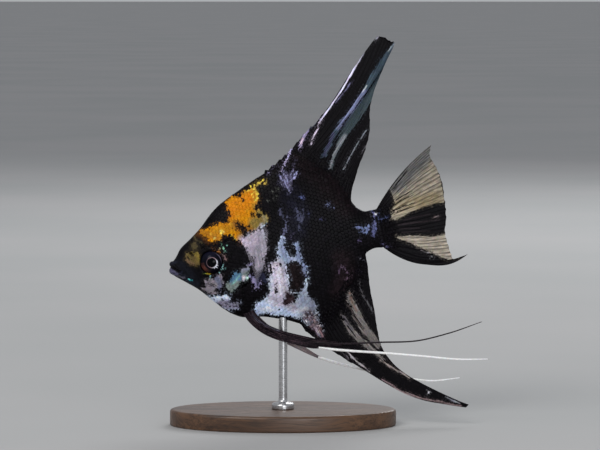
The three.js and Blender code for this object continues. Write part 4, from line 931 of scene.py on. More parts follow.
class Shader:
    """A material, with short names for the nodes that the looks are made of."""

    def __init__(self, name):
        self.material = bpy.data.materials.new(name)
        self.material.use_nodes = True
        self.tree = self.material.node_tree
        self.bsdf = self.tree.nodes["Principled BSDF"]

    def give(self, socket, value):
        if isinstance(value, bpy.types.NodeSocket):
            self.tree.links.new(value, socket)
        else:
            socket.default_value = value

    def look(self, **values):
        """The surface's own inputs, each a plain value or what a node gives."""
        for key, value in values.items():
            self.give(self.bsdf.inputs[key.replace("_", " ")], value)
        return self.material

    def add(self, kind, inputs=None, **settings):
        node = self.tree.nodes.new(kind)
        for key, value in settings.items():
            setattr(node, key, value)
        for key, value in (inputs or {}).items():
            self.give(node.inputs[key], value)
        return node

    def field(self, name, output="Fac"):
        return self.add("ShaderNodeAttribute", attribute_name=name).outputs[output]

    def place(self):
        return self.add("ShaderNodeTexCoord").outputs["Object"]

    def stretched(self, where, scale):
        return self.add("ShaderNodeMapping", {"Vector": where, "Scale": scale}).outputs[0]

    def noise(self, where, scale, detail=2.0, rough=0.5, output="Fac"):
        inputs = {"Vector": where, "Scale": scale, "Detail": detail, "Roughness": rough}
        return self.add("ShaderNodeTexNoise", inputs).outputs[output]

    def streaks(self, wide, long, detail=2.0):
        """A noise drawn out along a fin's rays."""
        spot = self.add("ShaderNodeCombineXYZ", {
            0: self.times(self.field("across"), wide),
            1: self.times(self.field("run"), long),
        }).outputs[0]
        return self.noise(spot, 1.0, detail, 0.6)

    def maths(self, operation, *values):
        return self.add("ShaderNodeMath", dict(enumerate(values)), operation=operation).outputs[0]

    def times(self, a, b):
        return self.maths("MULTIPLY", a, b)

    def vector_times_plus(self, vector, factor, plus):
        inputs = {0: vector, 1: factor, 2: plus}
        return self.add("ShaderNodeVectorMath", inputs, operation="MULTIPLY_ADD").outputs[0]

    def ranged(self, value, low, high, to_low=0.0, to_high=1.0, kind="SMOOTHSTEP"):
        inputs = {"Value": value, "From Min": low, "From Max": high, "To Min": to_low, "To Max": to_high}
        return self.add("ShaderNodeMapRange", inputs, interpolation_type=kind).outputs["Result"]

    def straight(self, value, low, high, to_low=0.0, to_high=1.0):
        return self.ranged(value, low, high, to_low, to_high, "LINEAR")

    def blended(self, share, a, b, mode="MIX"):
        a, b = [c if isinstance(c, bpy.types.NodeSocket) else (*c, 1.0) for c in (a, b)]
        node = self.add("ShaderNodeMix", {0: share, 6: a, 7: b}, data_type="RGBA", blend_type=mode)
        return node.outputs[2]

    def shaded(self, colour, value):
        """A colour times a number."""
        grey = self.add("ShaderNodeCombineColor", {0: value, 1: value, 2: value}).outputs[0]
        return self.blended(1.0, colour, grey, "MULTIPLY")

    def bump(self, strength, distance, height):
        inputs = {"Strength": strength, "Distance": distance, "Height": height}
        return self.add("ShaderNodeBump", inputs).outputs[0]


def hide(name, ragged=1.0, rough=0.42, grain=1.0, rays=0.0, **more):
    """Skin, scale or fin: marks with ragged edges over a dark ground, with a fine grain."""
    s = Shader(name)
    where = s.place()
    mark, mottle = s.field("mark"), s.field("mottle")
    tint, ground = s.field("tint", "Color"), s.field("ground", "Color")
    broad = s.streaks(2.6, 0.16, 3.0) if rays else s.noise(where, BROAD_GRAIN, 2.0, 0.6)
    fine = s.noise(where, FINE_GRAIN, 3.0, 0.68)
    spots = s.noise(where, SPOT_GRAIN, 1.0, 0.5)

    # where the marks are: noise moves their edge in and out, and mottling breaks them up
    reach, bite = (4.0, 1.1) if rays else (2.2, 2.6)
    edge = s.maths("MULTIPLY_ADD", s.maths("SUBTRACT", broad, 0.5), reach * ragged, mark)
    edge = s.maths("MULTIPLY_ADD", s.maths("SUBTRACT", fine, 0.5), bite * ragged, edge)
    outer, inner = (0.12, 0.20) if rays else (0.20, 0.32)
    inside = s.ranged(edge, -outer, inner)
    dark = s.ranged(s.maths("ADD", s.times(fine, 0.8), mottle), 0.72, 0.88)
    inside = s.times(inside, s.maths("SUBTRACT", 1.0, s.times(dark, 0.88)))

    # inside a mark: its tint, with grain, a change of hue and small painted glints, highlights painted into
    # the colour
    strength = s.straight(mottle, 0.0, 0.4, 0.12 * grain, 0.42 * grain)
    grainy = s.maths("MULTIPLY_ADD", s.straight(spots, 0.25, 0.75, -1.0, 1.0), strength, 1.0)
    low, high = (0.5, 1.45) if rays else (0.84, 1.14)
    grainy = s.times(grainy, s.straight(broad, 0.3, 0.7, low, high))
    hues = s.noise(where, HUE_GRAIN, 2.0, 0.7, "Color")
    hues = s.vector_times_plus(hues, (0.44, 0.30, 0.50), (0.78, 0.85, 0.75))
    pale = s.blended(1.0, s.shaded(tint, grainy), hues, "MULTIPLY")
    painted_glint = s.times(s.ranged(spots, 0.63, 0.70), s.ranged(mottle, 0.30, 0.45, 0.0, 0.6))
    pale = s.blended(painted_glint, pale, PAINTED_GLINT_COLOUR)

    # outside: the dark ground, with motes and a halo of the nearest mark
    murk = s.times(s.straight(broad, 0.25, 0.8, 0.5, 1.5), s.straight(fine, 0.3, 0.7, 0.45, 1.5))
    black = s.shaded(ground, murk)
    black = s.blended(s.ranged(fine, 0.52, 0.72, 0.0, 0.5), black, DEEPEST)
    motes = s.times(s.ranged(spots, 0.64, 0.72), s.ranged(broad, 0.45, 0.7, 0.0, 0.6))
    black = s.blended(motes, black, MOTE)
    halo = s.times(s.ranged(edge, -1.3, 0.0, 0.0, 0.22), s.ranged(fine, 0.48, 0.62))
    black = s.blended(halo, black, tint)

    colour = s.blended(inside, black, pale)
    if rays:
        hairs = s.ranged(s.streaks(8.0, 0.08), 0.35, 0.62, 1.0 - 0.6 * rays, 1.3)
        lines = s.times(hairs, s.ranged(s.field("ray"), 0.35, 1.0, 1.0, 1.0 - rays))
        colour = s.blended(inside, colour, s.shaded(colour, lines))
    return s.look(
        Base_Color=colour,
        Roughness=s.straight(spots, 0.2, 0.8, rough - 0.06, rough + 0.08),
        Normal=s.bump(0.25, 0.00006, fine),
        Specular_IOR_Level=0.06,
        **more,
    )


def veil():
    """The nearly clear membrane of a side fin."""
    s = Shader("veil")
    spots = s.noise(s.place(), VEIL_GRAIN, 2.0, 0.6)
    lines = s.ranged(s.field("ray"), 0.2, 1.0, 0.75, 1.2)
    shade = s.times(lines, s.straight(spots, 0.25, 0.75, 0.75, 1.2))
    cover = s.times(s.field("cover"), s.ranged(s.field("ray"), 0.1, 1.0, 0.55, 1.5))
    return s.look(
        Base_Color=s.shaded(s.field("tint", "Color"), shade),
        Alpha=s.maths("MINIMUM", cover, 1.0),
        Roughness=0.4,
        Specular_IOR_Level=0.2,
    )


def eye_material():
    s = Shader("eye")
    shade = s.straight(s.noise(s.place(), IRIS_GRAIN, 3.0, 0.6), 0.25, 0.75, 0.7, 1.25)
    return s.look(
        Base_Color=s.shaded(s.field("tint", "Color"), shade),
        Roughness=0.2,
        Specular_IOR_Level=0.02,
        Coat_Weight=0.1,
        Coat_Roughness=0.03,
    )


def walnut():
    """Wood with its fibres along the base."""
    s = Shader("walnut")
    where = s.place()
    slow = s.stretched(where, (14.0, 46.0, 46.0))
    bend = s.noise(slow, 1.0, 2.0, 0.5, "Color")
    bent = s.vector_times_plus(bend, (0.0, 0.020, 0.020), where)
    wave = s.noise(s.stretched(bent, (7.0, 260.0, 260.0)), 1.0, 4.0, 0.62)
    warp = s.noise(slow, 1.3, 2.0, 0.5)
    pores = s.noise(s.stretched(bent, (60.0, 1600.0, 1600.0)), 1.0, 2.0, 0.7)
    tone = s.maths("MULTIPLY_ADD", warp, 0.5, s.times(wave, 0.9))
    ramp = s.add("ShaderNodeValToRGB", {"Fac": s.straight(tone, 0.45, 0.95)})
    ramp.color_ramp.elements[0].color = WOOD_DARK
    ramp.color_ramp.elements[1].color = WOOD_LIGHT
    return s.look(
        Base_Color=s.shaded(ramp.outputs[0], s.ranged(pores, 0.35, 0.55, 0.55, 1.0)),
        Roughness=s.ranged(pores, 0.3, 0.7, 0.46, 0.32),
        Normal=s.bump(0.3, 0.0001, pores),
        Specular_IOR_Level=0.5,
    )


def steel():
    """Steel with fine lines round the rod."""
    s = Shader("steel")
    lines = s.noise(s.stretched(s.place(), (300.0, 300.0, 9000.0)), 1.0, 2.0, 0.6)
    return s.look(
        Base_Color=s.blended(s.ranged(lines, 0.3, 0.7), STEEL_DARK, STEEL_LIGHT),
        Roughness=s.ranged(lines, 0.3, 0.7, 0.24, 0.38),
        Normal=s.bump(0.15, 0.00003, lines),
        Metallic=1.0,
    )


def floor_material():
    s = Shader("floor")
    soft = s.noise(s.place(), FLOOR_GRAIN, 3.0, 0.5)
    return s.look(
        Base_Color=s.blended(s.ranged(soft, 0.3, 0.7), FLOOR_DARK, FLOOR_LIGHT),
        Roughness=0.85,
        Specular_IOR_Level=0.2,
    )


SKIN = hide("skin")
SCALES = hide("scales", rough=0.38)
FIN = hide("fin", ragged=0.6, rays=0.3)
CLEAR_FIN = hide("clear_fin", ragged=0.35, rough=0.4, rays=0.55, grain=0.6)
STREAMER = hide(
    "streamer", ragged=0.2, rough=0.4, grain=0.5,
    Subsurface_Weight=0.7, Subsurface_Radius=(1, 1, 1), Subsurface_Scale=0.0008,
)
VEIL = veil()
EYE_GLOSS = eye_material()
WALNUT = walnut()
STEEL = steel()


# ------------------------------------------------------------------ skin
SNOUT_START, FINE_UNTIL = 1.2, 12  # the body's first section, and where its sections stand further apart


def body_shell(grow):
    """The body as closed rings from snout to tail stalk, grown by so many mm."""
    head = np.arange(SNOUT_START, FINE_UNTIL, 0.3)
    xs = np.concatenate([head, np.arange(FINE_UNTIL, STANDARD_LENGTH, 0.5), [STANDARD_LENGTH]])
    share = np.linspace(0, 1, 49)
    x, s = np.meshgrid(xs, share, indexing="ij")
    y = np.maximum(side_at(x, s) + grow, 0.1)
    z = height_at(x, s) + grow * np.cos(np.pi * s)
    left = np.stack([x, -y, z], -1)
    right = np.stack([x, y, z], -1)[:, ::-1]
    rings = np.concatenate([left, right], 1)
    count = rings.shape[1]
    faces = grid_faces(len(xs), count, wrap=True)
    i = np.arange(len(share) - 1)
    cap = np.stack([i, count - 1 - i, count - 2 - i, i + 1], 1)
    rear = (len(xs) - 1) * count + cap[:, ::-1]
    return rings.reshape(-1, 3), np.concatenate([faces, cap, rear])


def tube(path, radius_at, sides, steps=40):
    """A closed tube through points. radius_at gives its radius along it, from 0 to 1."""
    path = np.asarray(path, float)
    gaps = np.concatenate([[0], np.cumsum(np.linalg.norm(np.diff(path, axis=0), axis=1))])
    curves = [profile(np.stack([gaps, c], 1)) for c in path.T]
    t = np.linspace(0, 1, steps + 1)
    centre = np.stack([c(t * gaps[-1]) for c in curves], 1)
    along = np.gradient(centre, axis=0)
    along /= np.linalg.norm(along, axis=1)[:, None]
    side = np.cross(along, (0.0, 0.0, 1.0))
    side /= np.linalg.norm(side, axis=1)[:, None]
    top = np.cross(side, along)
    turn = np.linspace(0, 2 * np.pi, sides, endpoint=False)
    r = radius_at(t)[:, None, None]
    c, s = np.cos(turn)[None, :, None], np.sin(turn)[None, :, None]
    ring = centre[:, None] + r * (c * side[:, None] + s * top[:, None])
    points = ring.reshape(-1, 3)
    faces = grid_faces(steps + 1, sides, wrap=True)
    first, last = len(points), len(points) + 1
    points = np.concatenate([points, centre[:1], centre[-1:]])
    i = np.arange(sides)
    n = (i + 1) % sides
    caps = np.concatenate([
        np.stack([np.full(sides, first), n, i], 1),
        np.stack([np.full(sides, last), steps * sides + i, steps * sides + n], 1),
    ])
    return points, [faces, caps], np.concatenate([np.repeat(t, sides), [0, 1]])


def lip(half, lift, forward):
    """One fold of the lips, from one corner of the mouth round the front to the other."""
    cx, cy, cz = MOUTH_CORNER
    fx, fz = MOUTH_FRONT

    def end(s):
        return (cx + 0.8, s * (cy - 0.6), cz + lift * 0.25)

    def cheek(s):
        return (cx - 0.5, s * cy, cz + 0.3 + lift * 0.5)

    def quarter(s):
        return (fx + 0.9, s * cy * 0.72, mix(fz, cz, 0.3) + lift * 0.9)

    path = [end(-1), cheek(-1), quarter(-1), (fx + forward, 0, fz + lift), quarter(1), cheek(1), end(1)]
    radius = profile([(0, half * 0.3), (0.16, half * 0.62), (0.32, half * 0.92), (0.5, half),
                      (0.68, half * 0.92), (0.84, half * 0.62), (1, half * 0.3)])
    return tube(path, radius, 20)[:2]


def joined(parts):
    """Several meshes as one, their faces kept apart by how many corners they have."""
    points, faces, start = [], {}, 0
    for got, polygons in parts:
        points.append(got)
        for group in polygons if isinstance(polygons, list) else [polygons]:
            faces.setdefault(group.shape[1], []).append(group + start)
        start += len(got)
    return np.concatenate(points), [np.concatenate(g) for g in faces.values()]


def skin_mesh():
    """The body and the lips as one seamless mesh."""
    points, faces = joined([body_shell(-COAT_DEPTH)] + [lip(*row) for row in LIPS])
    shell = add_object("skin", mesh_from("body", points, faces))
    remesh = shell.modifiers.new("remesh", "REMESH")
    remesh.mode = "VOXEL"
    remesh.voxel_size = SKIN_GRID
    apply_modifiers(shell)
    return shell


def relaxed(mesh, points, rounds, share):
    """Moves each point towards the middle of its neighbours."""
    edges = np.empty(len(mesh.edges) * 2, np.int32)
    mesh.edges.foreach_get("vertices", edges)
    a, b = edges.reshape(-1, 2).T
    count = np.bincount(a, minlength=len(points)) + np.bincount(b, minlength=len(points))
    for _ in range(rounds):
        total = np.stack([
            np.bincount(a, points[b, k], len(points)) + np.bincount(b, points[a, k], len(points))
            for k in range(3)
        ], 1)
        points = mix(points, total / np.maximum(count, 1)[:, None], share)
    return points


# Everything ahead of the gill cover's edge.
HEAD_COVER = np.array(GILL_COVER_EDGE + [(20, 12), (8, 12), (-4, 4), (-4, -8), (6, -13)], float)


def falloff(distance, width):
    """1 at a line and falling off smoothly over its width."""
    return np.exp(-(distance / width) ** 2)


def distance_to(x, z, line):
    return in_stroke(x, z, line, [0.0])


def shaped(points):
    """Works the gill cover, cheek, eye sockets and nostrils into the skin."""
    x, y, z = points.T.copy()
    side = np.where(y < 0, -1.0, 1.0)
    flat = smooth(0.4, 1.8, np.abs(y))
    cover = in_outline(x, z, HEAD_COVER)
    swell = GILL_SWELL * smooth(11, 23, x) * (1 - smooth(3, 12, z)) * smooth(-17, -10, z)
    rear = distance_to(x, z, GILL_COVER_EDGE)
    lift = swell * smooth(-0.05, 0.45, cover)
    behind = np.where(cover < 0, rear, 9) + GILL_GROOVE["behind"]
    lift -= GILL_GROOVE["depth"] * falloff(behind, GILL_GROOVE["width"]) * smooth(12, 17, x)
    cheek = distance_to(x, z, CHEEK_EDGE)
    lift -= CHEEK_GROOVE["depth"] * falloff(cheek, CHEEK_GROOVE["width"])
    lift += CHEEK_RIDGE["height"] * falloff(cheek + CHEEK_RIDGE["ahead"], CHEEK_RIDGE["width"])
    nostril = np.hypot(x - NOSTRIL["x"], (z - NOSTRIL["z"]) * 1.15)
    rim = NOSTRIL["rim_height"] * falloff(nostril - NOSTRIL["rim"], NOSTRIL["rim_width"])
    lift += rim - NOSTRIL["pit"] * (1 - smooth(0.25, 0.7, nostril))
    spread = np.hypot((x - EYE["x"]) * math.cos(EYE_TURN), z - EYE["z"])
    rim = EYE_RIM["height"] * falloff(spread - EYE_RIM["radius"], EYE_RIM["width"])
    lift += rim - EYE_MOAT["depth"] * falloff(spread - EYE_MOAT["radius"], EYE_MOAT["width"])
    (fx, fz), (cx, _, cz) = MOUTH_FRONT, MOUTH_CORNER
    crease = in_stroke(x, z, [(fx - 2, fz + 0.6), (fx, fz), (cx, cz)], [0.0])
    crease = falloff(crease, MOUTH_LINE) * (x < cx + 0.6)
    lift -= MOUTH_CUT * crease
    x = x + 0.14 * crease * (1 - smooth(1.2, 3.2, x))
    raised = np.abs(y) + lift * flat
    plane = EYE["outward"] + (x - EYE["x"]) * math.tan(EYE_TURN)
    wall = smooth(EYE_SOCKET["inner"], EYE_SOCKET["outer"], spread)
    out = np.where(spread < EYE_SOCKET["outer"], mix(plane - EYE_SOCKET["floor"], raised, wall), raised)
    out = np.where(np.abs(y) > 0.6, out, np.abs(y))
    return np.stack([x, side * out, z], 1)


body = skin_mesh()
mesh = body.data
points = relaxed(mesh, coordinates(mesh), 2, 0.5)
points = shaped(points)
mesh.vertices.foreach_set("co", points.astype(np.float32).ravel())
mesh.update()
mesh.polygons.foreach_set("use_smooth", np.ones(len(mesh.polygons), bool))
skin_points = coordinates(mesh)
mesh.calc_loop_triangles()
skin_faces = np.empty(len(mesh.loop_triangles) * 3, np.int32)
mesh.loop_triangles.foreach_get("vertices", skin_faces)
skin_faces = skin_faces.reshape(-1, 3)
skin_tree = BVHTree.FromPolygons(skin_points.tolist(), skin_faces.tolist())
for key, values in body_markings(skin_points).items():
    set_field(mesh, key, values)
mesh.vertices.foreach_set("co", to_world(skin_points).astype(np.float32).ravel())
mesh.materials.clear()
mesh.materials.append(SKIN)
mesh.update()
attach(body, "root")
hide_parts("head", "trunk", "tail_stalk", "gill_cover_left", "gill_cover_right")


# ------------------------------------------------------------------ fins
def slab_faces(rows, columns):
    """A closed fin's two faces and rim: rows along the rays, columns across them."""
    near = grid_faces(columns, rows)
    count = rows * columns
    far = near[:, ::-1] + count
    rim = np.concatenate([
        np.arange(columns - 1) * rows, (columns - 1) * rows + np.arange(rows - 1),
        (columns - 1 - np.arange(columns - 1)) * rows + rows - 1, rows - 1 - np.arange(rows - 1),
    ])
    following = np.roll(rim, -1)
    edge = np.stack([rim, following, following + count, rim + count], 1)
    return np.concatenate([near[:, ::-1], far[:, ::-1], edge])


def ray_relief(t, r, count, fork):
    """How much of a ray there is at t, one that forks part of the way along."""
    phase = t * (count - 1)
    off = np.abs(phase - np.round(phase))
    apart = 0.22 * smooth(fork, fork + 0.25, r)
    near = np.abs(off - apart)
    return np.exp(-(near / 0.13) ** 2)


def fin_slab(middle, half, t, r):
    """Both faces of a fin as points, from its middle surface and half-thickness."""
    tt, rr = np.meshgrid(t, r, indexing="ij")
    x, y, z = middle(tt, rr)
    h = half(tt, rr)
    near = np.stack([x, y - h, z], -1).reshape(-1, 3)
    far = np.stack([x, y + h, z], -1).reshape(-1, 3)
    both = np.tile(tt.ravel(), 2), np.tile(rr.ravel(), 2)
    return np.concatenate([near, far]), slab_faces(len(r), len(t)), *both


def under_keel(outline, side):
    """Where a fin's ray starts inside the body."""
    def at(x):
        slope = (outline(x + 0.2) - outline(x - 0.2)) / 0.4
        length = np.hypot(1, slope)
        depth = 2.6 - 1.2 * smooth(60, 71, x)
        return x + side * depth * slope / length, outline(x) - side * depth / length
    return at


def fillet(outline, side, x, z, r):
    """How a fin's base thickens into the body."""
    slope = (outline(x + 0.2) - outline(x - 0.2)) / 0.4
    above = side * (z - outline(x)) / np.hypot(1, slope)
    return 0.034 * np.clip(5.0 - above, 0, 7.5) ** 2 * (1 - smooth(0.3, 1, r))


def ray_point(root, tip, bow, r):
    """A point along a ray that is bent by its bow."""
    dx, dz = tip[0] - root[0], tip[1] - root[1]
    bulge = 4 * bow * r * (1 - r) * (1 + 0.45 * smooth(0.5, 1, r) * (bow > 0.15))
    return root[0] + dx * r + dz * bulge, root[1] + dz * r - dx * bulge


STREAKS_ACROSS = {"dorsal": 30, "anal": 28, "caudal": 36, "pelvic": 9}
STREAKS_ALONG = 40


def swayed(x, z, root, sway):
    """How far sideways a fin has bent at a point: more and more away from its root."""
    most, reach = sway
    return most * (np.hypot(x - root[0], z - root[1]) / reach) ** 2


def along_ray(row, root_of, count, sway, fray, bite, tt, rr, steps=0.0):
    """A point of a fin's middle surface: along its ray, the web cut in between free ray tips."""
    seat, tip_x, tip_z, bow, free = row
    root = root_of(seat)
    length = np.hypot(tip_x - root[0], tip_z - root[1])
    phase = tt * (count - 1)
    notch = np.abs(np.sin(np.pi * phase)) ** 0.8
    uneven = np.abs(np.sin(np.floor(phase) * 12.9898 + 4.1) * 43758.5) % 1.0
    deep = fray * (0.4 + 1.1 * uneven) + steps * (1 - smooth(0.27, 0.33, tt))
    drawn = 1 - free * np.minimum(deep, bite * length) * notch / length
    x, z = ray_point(root, (tip_x, tip_z), bow, rr * drawn)
    return x, swayed(x, z, root, sway), z


def web_half(relief, free, rr):
    """Half-thickness of a fin, thinner towards its tips."""
    return mix(WEB_HALF, RAY_HALF, relief) * mix(1, mix(0.62, 0.34, free), rr)


def median_fin(rows, count, root_of, thicken, sway, t, r, fray=0.4, steps=0.0):
    """A rayed fin in the fish's middle plane, from its table of rays."""
    ray = table(rows)

    def middle(tt, rr):
        return along_ray(ray(tt), root_of, count, sway, fray, 0.25, tt, rr, steps)

    def half(tt, rr):
        relief = ray_relief(tt, rr, count, MEDIAN_FORK)
        joints = 1 + 0.10 * np.cos(rr * 240) * smooth(0.25, 0.5, rr) * relief
        x, _, z = middle(tt, rr)
        return web_half(relief, ray(tt)[4], rr) * joints + thicken(x, z, tt, rr)

    points, faces, ts, rs = fin_slab(middle, half, t, r)
    return points, faces, ts, rs, ray_relief(ts, rs, count, MEDIAN_FORK)


def fin_markings(points, kind):
    paint = Paint(points[:, 0], points[:, 2])
    paint.marks(FIN_MARKS[kind])
    return paint.fields()


def add_fin(name, made, kind, nodes, material_used):
    points, faces, t, r, ray = made
    fields = fin_markings(points, kind)
    fields["ray"] = ray
    fields["across"], fields["run"] = t * STREAKS_ACROSS[kind], r * STREAKS_ALONG
    return piece(name, points, faces, material_used, fields, nodes)


def along_fin(count):
    """Places along a fin's rays, closer together near the root."""
    return np.linspace(0, 1, count) ** 1.15


def across_fin(count, steps):
    """Places across a fin, the same number from each ray to the next."""
    return np.linspace(0, 1, (count - 1) * steps + 1)


dorsal = median_fin(
    DORSAL_RAYS, DORSAL_COUNT, under_keel(back, 1), lambda x, z, t, r: fillet(back, 1, x, z, r),
    DORSAL_SWAY, across_fin(DORSAL_COUNT, 10), along_fin(96), 0.4, 1.3,
)
add_fin("dorsal_fin_render", dorsal, "dorsal", ["dorsal_fin"], FIN)


def anal_fan_and_lobe():
    """The anal fin's fan, whose middle rays run on into the trailing lobe."""
    ray, edges = table(ANAL_RAYS), table(ANAL_LOBE)
    root_of = under_keel(belly, -1)

    def in_lobe(u):
        return mix(LOBE_START, LOBE_END, u)

    def fan(tt, rr):
        return along_ray(ray(tt), root_of, ANAL_COUNT, ANAL_SWAY, 0.4, 0.2, tt, rr)

    def fan_half(tt, rr):
        x, _, z = fan(tt, rr)
        relief = ray_relief(tt, rr, ANAL_COUNT, MEDIAN_FORK)
        return web_half(relief, ray(tt)[4], rr) + fillet(belly, -1, x, z, rr)

    def lobe(uu, vv):
        front_x, front_z, rear_x, rear_z = edges(vv)
        x, z = mix(front_x, rear_x, uu), mix(front_z, rear_z, uu)
        return x, swayed(x, z, root_of(ray(in_lobe(uu))[0]), ANAL_SWAY), z

    def lobe_half(uu, vv):
        relief = ray_relief(in_lobe(uu), 1.0, ANAL_COUNT, MEDIAN_FORK)
        return mix(WEB_HALF, RAY_HALF, relief) * 0.62 * mix(1, 0.4, vv)

    one = fin_slab(fan, fan_half, across_fin(ANAL_COUNT, 10), along_fin(80))
    two = fin_slab(lobe, lobe_half, np.linspace(0, 1, 81), np.linspace(0, 1, 110))
    points, faces = joined([one[:2], two[:2]])
    across = np.concatenate([one[2], in_lobe(two[2])])
    rays = ray_relief(across, np.concatenate([one[3], 1.0 + 0 * two[3]]), ANAL_COUNT, MEDIAN_FORK)
    return points, faces, across, np.concatenate([one[3], 1 + 1.2 * two[3]]), rays


anal = anal_fan_and_lobe()
add_fin("anal_fin_render", anal, "anal", ["anal_fin", "anal_fin_lobe"], FIN)

stalk_top, stalk_bottom = float(back(STANDARD_LENGTH)), float(belly(STANDARD_LENGTH))
caudal_seat = table(CAUDAL_RAYS)


def caudal_half(x, z, t, r):
    """How the tail fin's base thickens into the tail stalk."""
    seat = caudal_seat(t)[0]
    share = np.arccos(np.clip(1 - 2 * (stalk_top - seat) / (stalk_top - stalk_bottom), -1, 1)) / np.pi
    return (side_at(STANDARD_LENGTH + 0 * share, share) * 0.98 - 0.24) * (1 - smooth(-0.06, 0.30, r))


tail = median_fin(
    CAUDAL_RAYS, CAUDAL_COUNT, lambda z: (STANDARD_LENGTH - 1.0 + 0 * z, z), caudal_half,
    CAUDAL_SWAY, across_fin(CAUDAL_COUNT, 12), along_fin(80), 0.25,
)
add_fin("tail_fin_render", tail, "caudal", ["caudal_fin"], CLEAR_FIN)


def side_name(side):
    return "left" if side < 0 else "right"


def pectoral(side):
    tips = table(PECTORAL_TIPS)
    top, bottom, outward = PECTORAL_ROOT["top"], PECTORAL_ROOT["bottom"], PECTORAL_ROOT["outward"]

    def middle(tt, rr):
        root = (mix(top[0], bottom[0], tt), mix(top[1], bottom[1], tt))
        notch = np.abs(np.sin(np.pi * tt * (PECTORAL_COUNT - 1))) ** 1.5
        x, z = ray_point(root, tips(tt), 0.03, rr * (1 - 0.03 * notch))
        return x, side * (outward - 0.9 * (1 - smooth(0, 0.1, rr)) + PECTORAL_FLARE * rr ** 0.85), z

    def half(tt, rr):
        relief = ray_relief(tt, rr, PECTORAL_COUNT, PECTORAL_FORK)
        return np.maximum(mix(0.07, 0.2, relief) * mix(1, 0.4, rr), mix(0.7, 0, smooth(0, 0.2, rr)))

    points, faces, t, r = fin_slab(middle, half, across_fin(PECTORAL_COUNT, 10), along_fin(50))
    base = 1 - smooth(0.05, 0.32, r)
    fade = 1 - 0.5 * smooth(0.75, 1.0, r)
    fields = {
        "tint": mix(srgb(196, 188, 202), srgb(44, 48, 74), base[:, None]),
        "ray": ray_relief(t, r, PECTORAL_COUNT, PECTORAL_FORK),
        "cover": mix(0.16, 0.72, base) * fade,
    }
    name, node = f"pectoral_{side_name(side)}_render", f"pectoral_fin_{side_name(side)}"
    return piece(name, points, faces, VEIL, fields, [node])


pectoral(-1)
pectoral(1)


def pelvic(side, form, ground, tint, shown):
    """A pelvic fin's blade. shown is how deep inside a mark all of it lies."""
    splay = profile(PELVIC_SPLAY)
    upper, lower = table(form["upper"]), table(form["lower"])

    def middle(tt, rr):
        above, below = upper(rr), lower(rr)
        x = mix(above[0], below[0], tt)
        return x, side * splay(x), mix(above[1], below[1], tt)

    def half(tt, rr):
        relief = ray_relief(tt, rr, PELVIC_COUNT, PELVIC_FORK)
        body_half = mix(0.16, 0.4, relief) * mix(1, 0.7, rr)
        return np.maximum(body_half, mix(0.7, 0, smooth(0.05, 0.35, rr)))

    points, faces, t, r = fin_slab(middle, half, across_fin(PELVIC_COUNT, 10), np.linspace(0, 1, 90))
    x = points[:, 0]
    paint = Paint(x, points[:, 2], ground)
    paint.lay(shown + 0 * r, tint, mottle=0.1)
    if side < 0:
        # the painted highlight along the left blade's ray
        paint.marks(LEFT_BLADE_RAY_HIGHLIGHT)
    else:
        paint.wash(RIGHT_BLADE_DARK_TO - x, (30, 25, 30), 3.0)
        paint.wash(x - RIGHT_BLADE_WHITE_FROM, (246, 244, 246), 0.7)
    fields = paint.fields()
    fields["ray"] = ray_relief(t, r, PELVIC_COUNT, PELVIC_FORK)
    fields["across"], fields["run"] = t * STREAKS_ACROSS["pelvic"], r * STREAKS_ALONG
    name, node = f"pelvic_{side_name(side)}_render", f"pelvic_fin_{side_name(side)}"
    return piece(name, points, faces, FIN, fields, [node])


pelvic(-1, LEFT_PELVIC, (22, 17, 23), (66, 52, 58), -0.16)
pelvic(1, RIGHT_PELVIC, (112, 102, 104), (138, 126, 128), 2.4)


def streamer(name, node, slot, side, line, colour, thick):
    """A long thread-like ray that trails from a pelvic fin."""
    splay = profile(PELVIC_SPLAY)
    path = [(x, side * float(splay(x)) - STREAMER_IN * (side > 0), z) for x, z in line]
    shares = [(0, 0.8), (0.06, 1.0), (0.5, 0.8), (0.8, 0.66), (1, 0.32)]
    points, faces, t = tube(path, profile([(at, share * thick) for at, share in shares]), 14, steps=160)
    paint = Paint(points[:, 0], points[:, 2], colour)
    paint.lay(1.0 + 0 * t, colour)
    return piece(name, points, faces, STREAMER, paint.fields(), [node])


for row in [
    ("streamer_left_dark", "pelvic_streamer_left_upper", "dark_fin", -1, DARK_STREAMER, SMOKE, 0.36),
    ("streamer_left_white", "pelvic_streamer_left_lower", "clear_fin", -1, LEFT_WHITE_STREAMER, WHITE, 0.5),
    ("streamer_right_white", "pelvic_streamer_right", "clear_fin", 1, RIGHT_WHITE_STREAMER, WHITE, 0.5),
]:
    streamer(*row)


# ------------------------------------------------------------------ scales
# The skin and the rayed fins together, for the scales to lie on.
bed_points, bed_faces = joined([(skin_points, skin_faces)] + [fin[:2] for fin in (dorsal, anal, tail)])
bed = BVHTree.FromPolygons(bed_points.tolist(), [face for group in bed_faces for face in group.tolist()])


LAST_SECTION = 79.9  # the last place along the body where scales ask for its section


def scale_roots(pitch):
    """Rows of scale roots that follow the body: x, z, place around it, and size."""
    share = np.linspace(0, 1, 241)
    roots = []
    for column, x in enumerate(np.arange(*COAT_X, pitch * SCALE_ROW)):
        xs = np.full(len(share), min(x, LAST_SECTION))
        y, z = side_at(xs, share), height_at(xs, share)
        arc = np.concatenate([[0], np.cumsum(np.hypot(np.diff(y), np.diff(z)))])
        places = np.interp(0.46, share, arc) + (np.arange(-40, 41) + 0.5 * (column % 2)) * pitch
        places = places[(places > 0.25) & (places < arc[-1] - 0.25)]
        roots += [(x, float(np.interp(at, arc, z)), float(at), 1.0) for at in places]
    return np.array(roots)


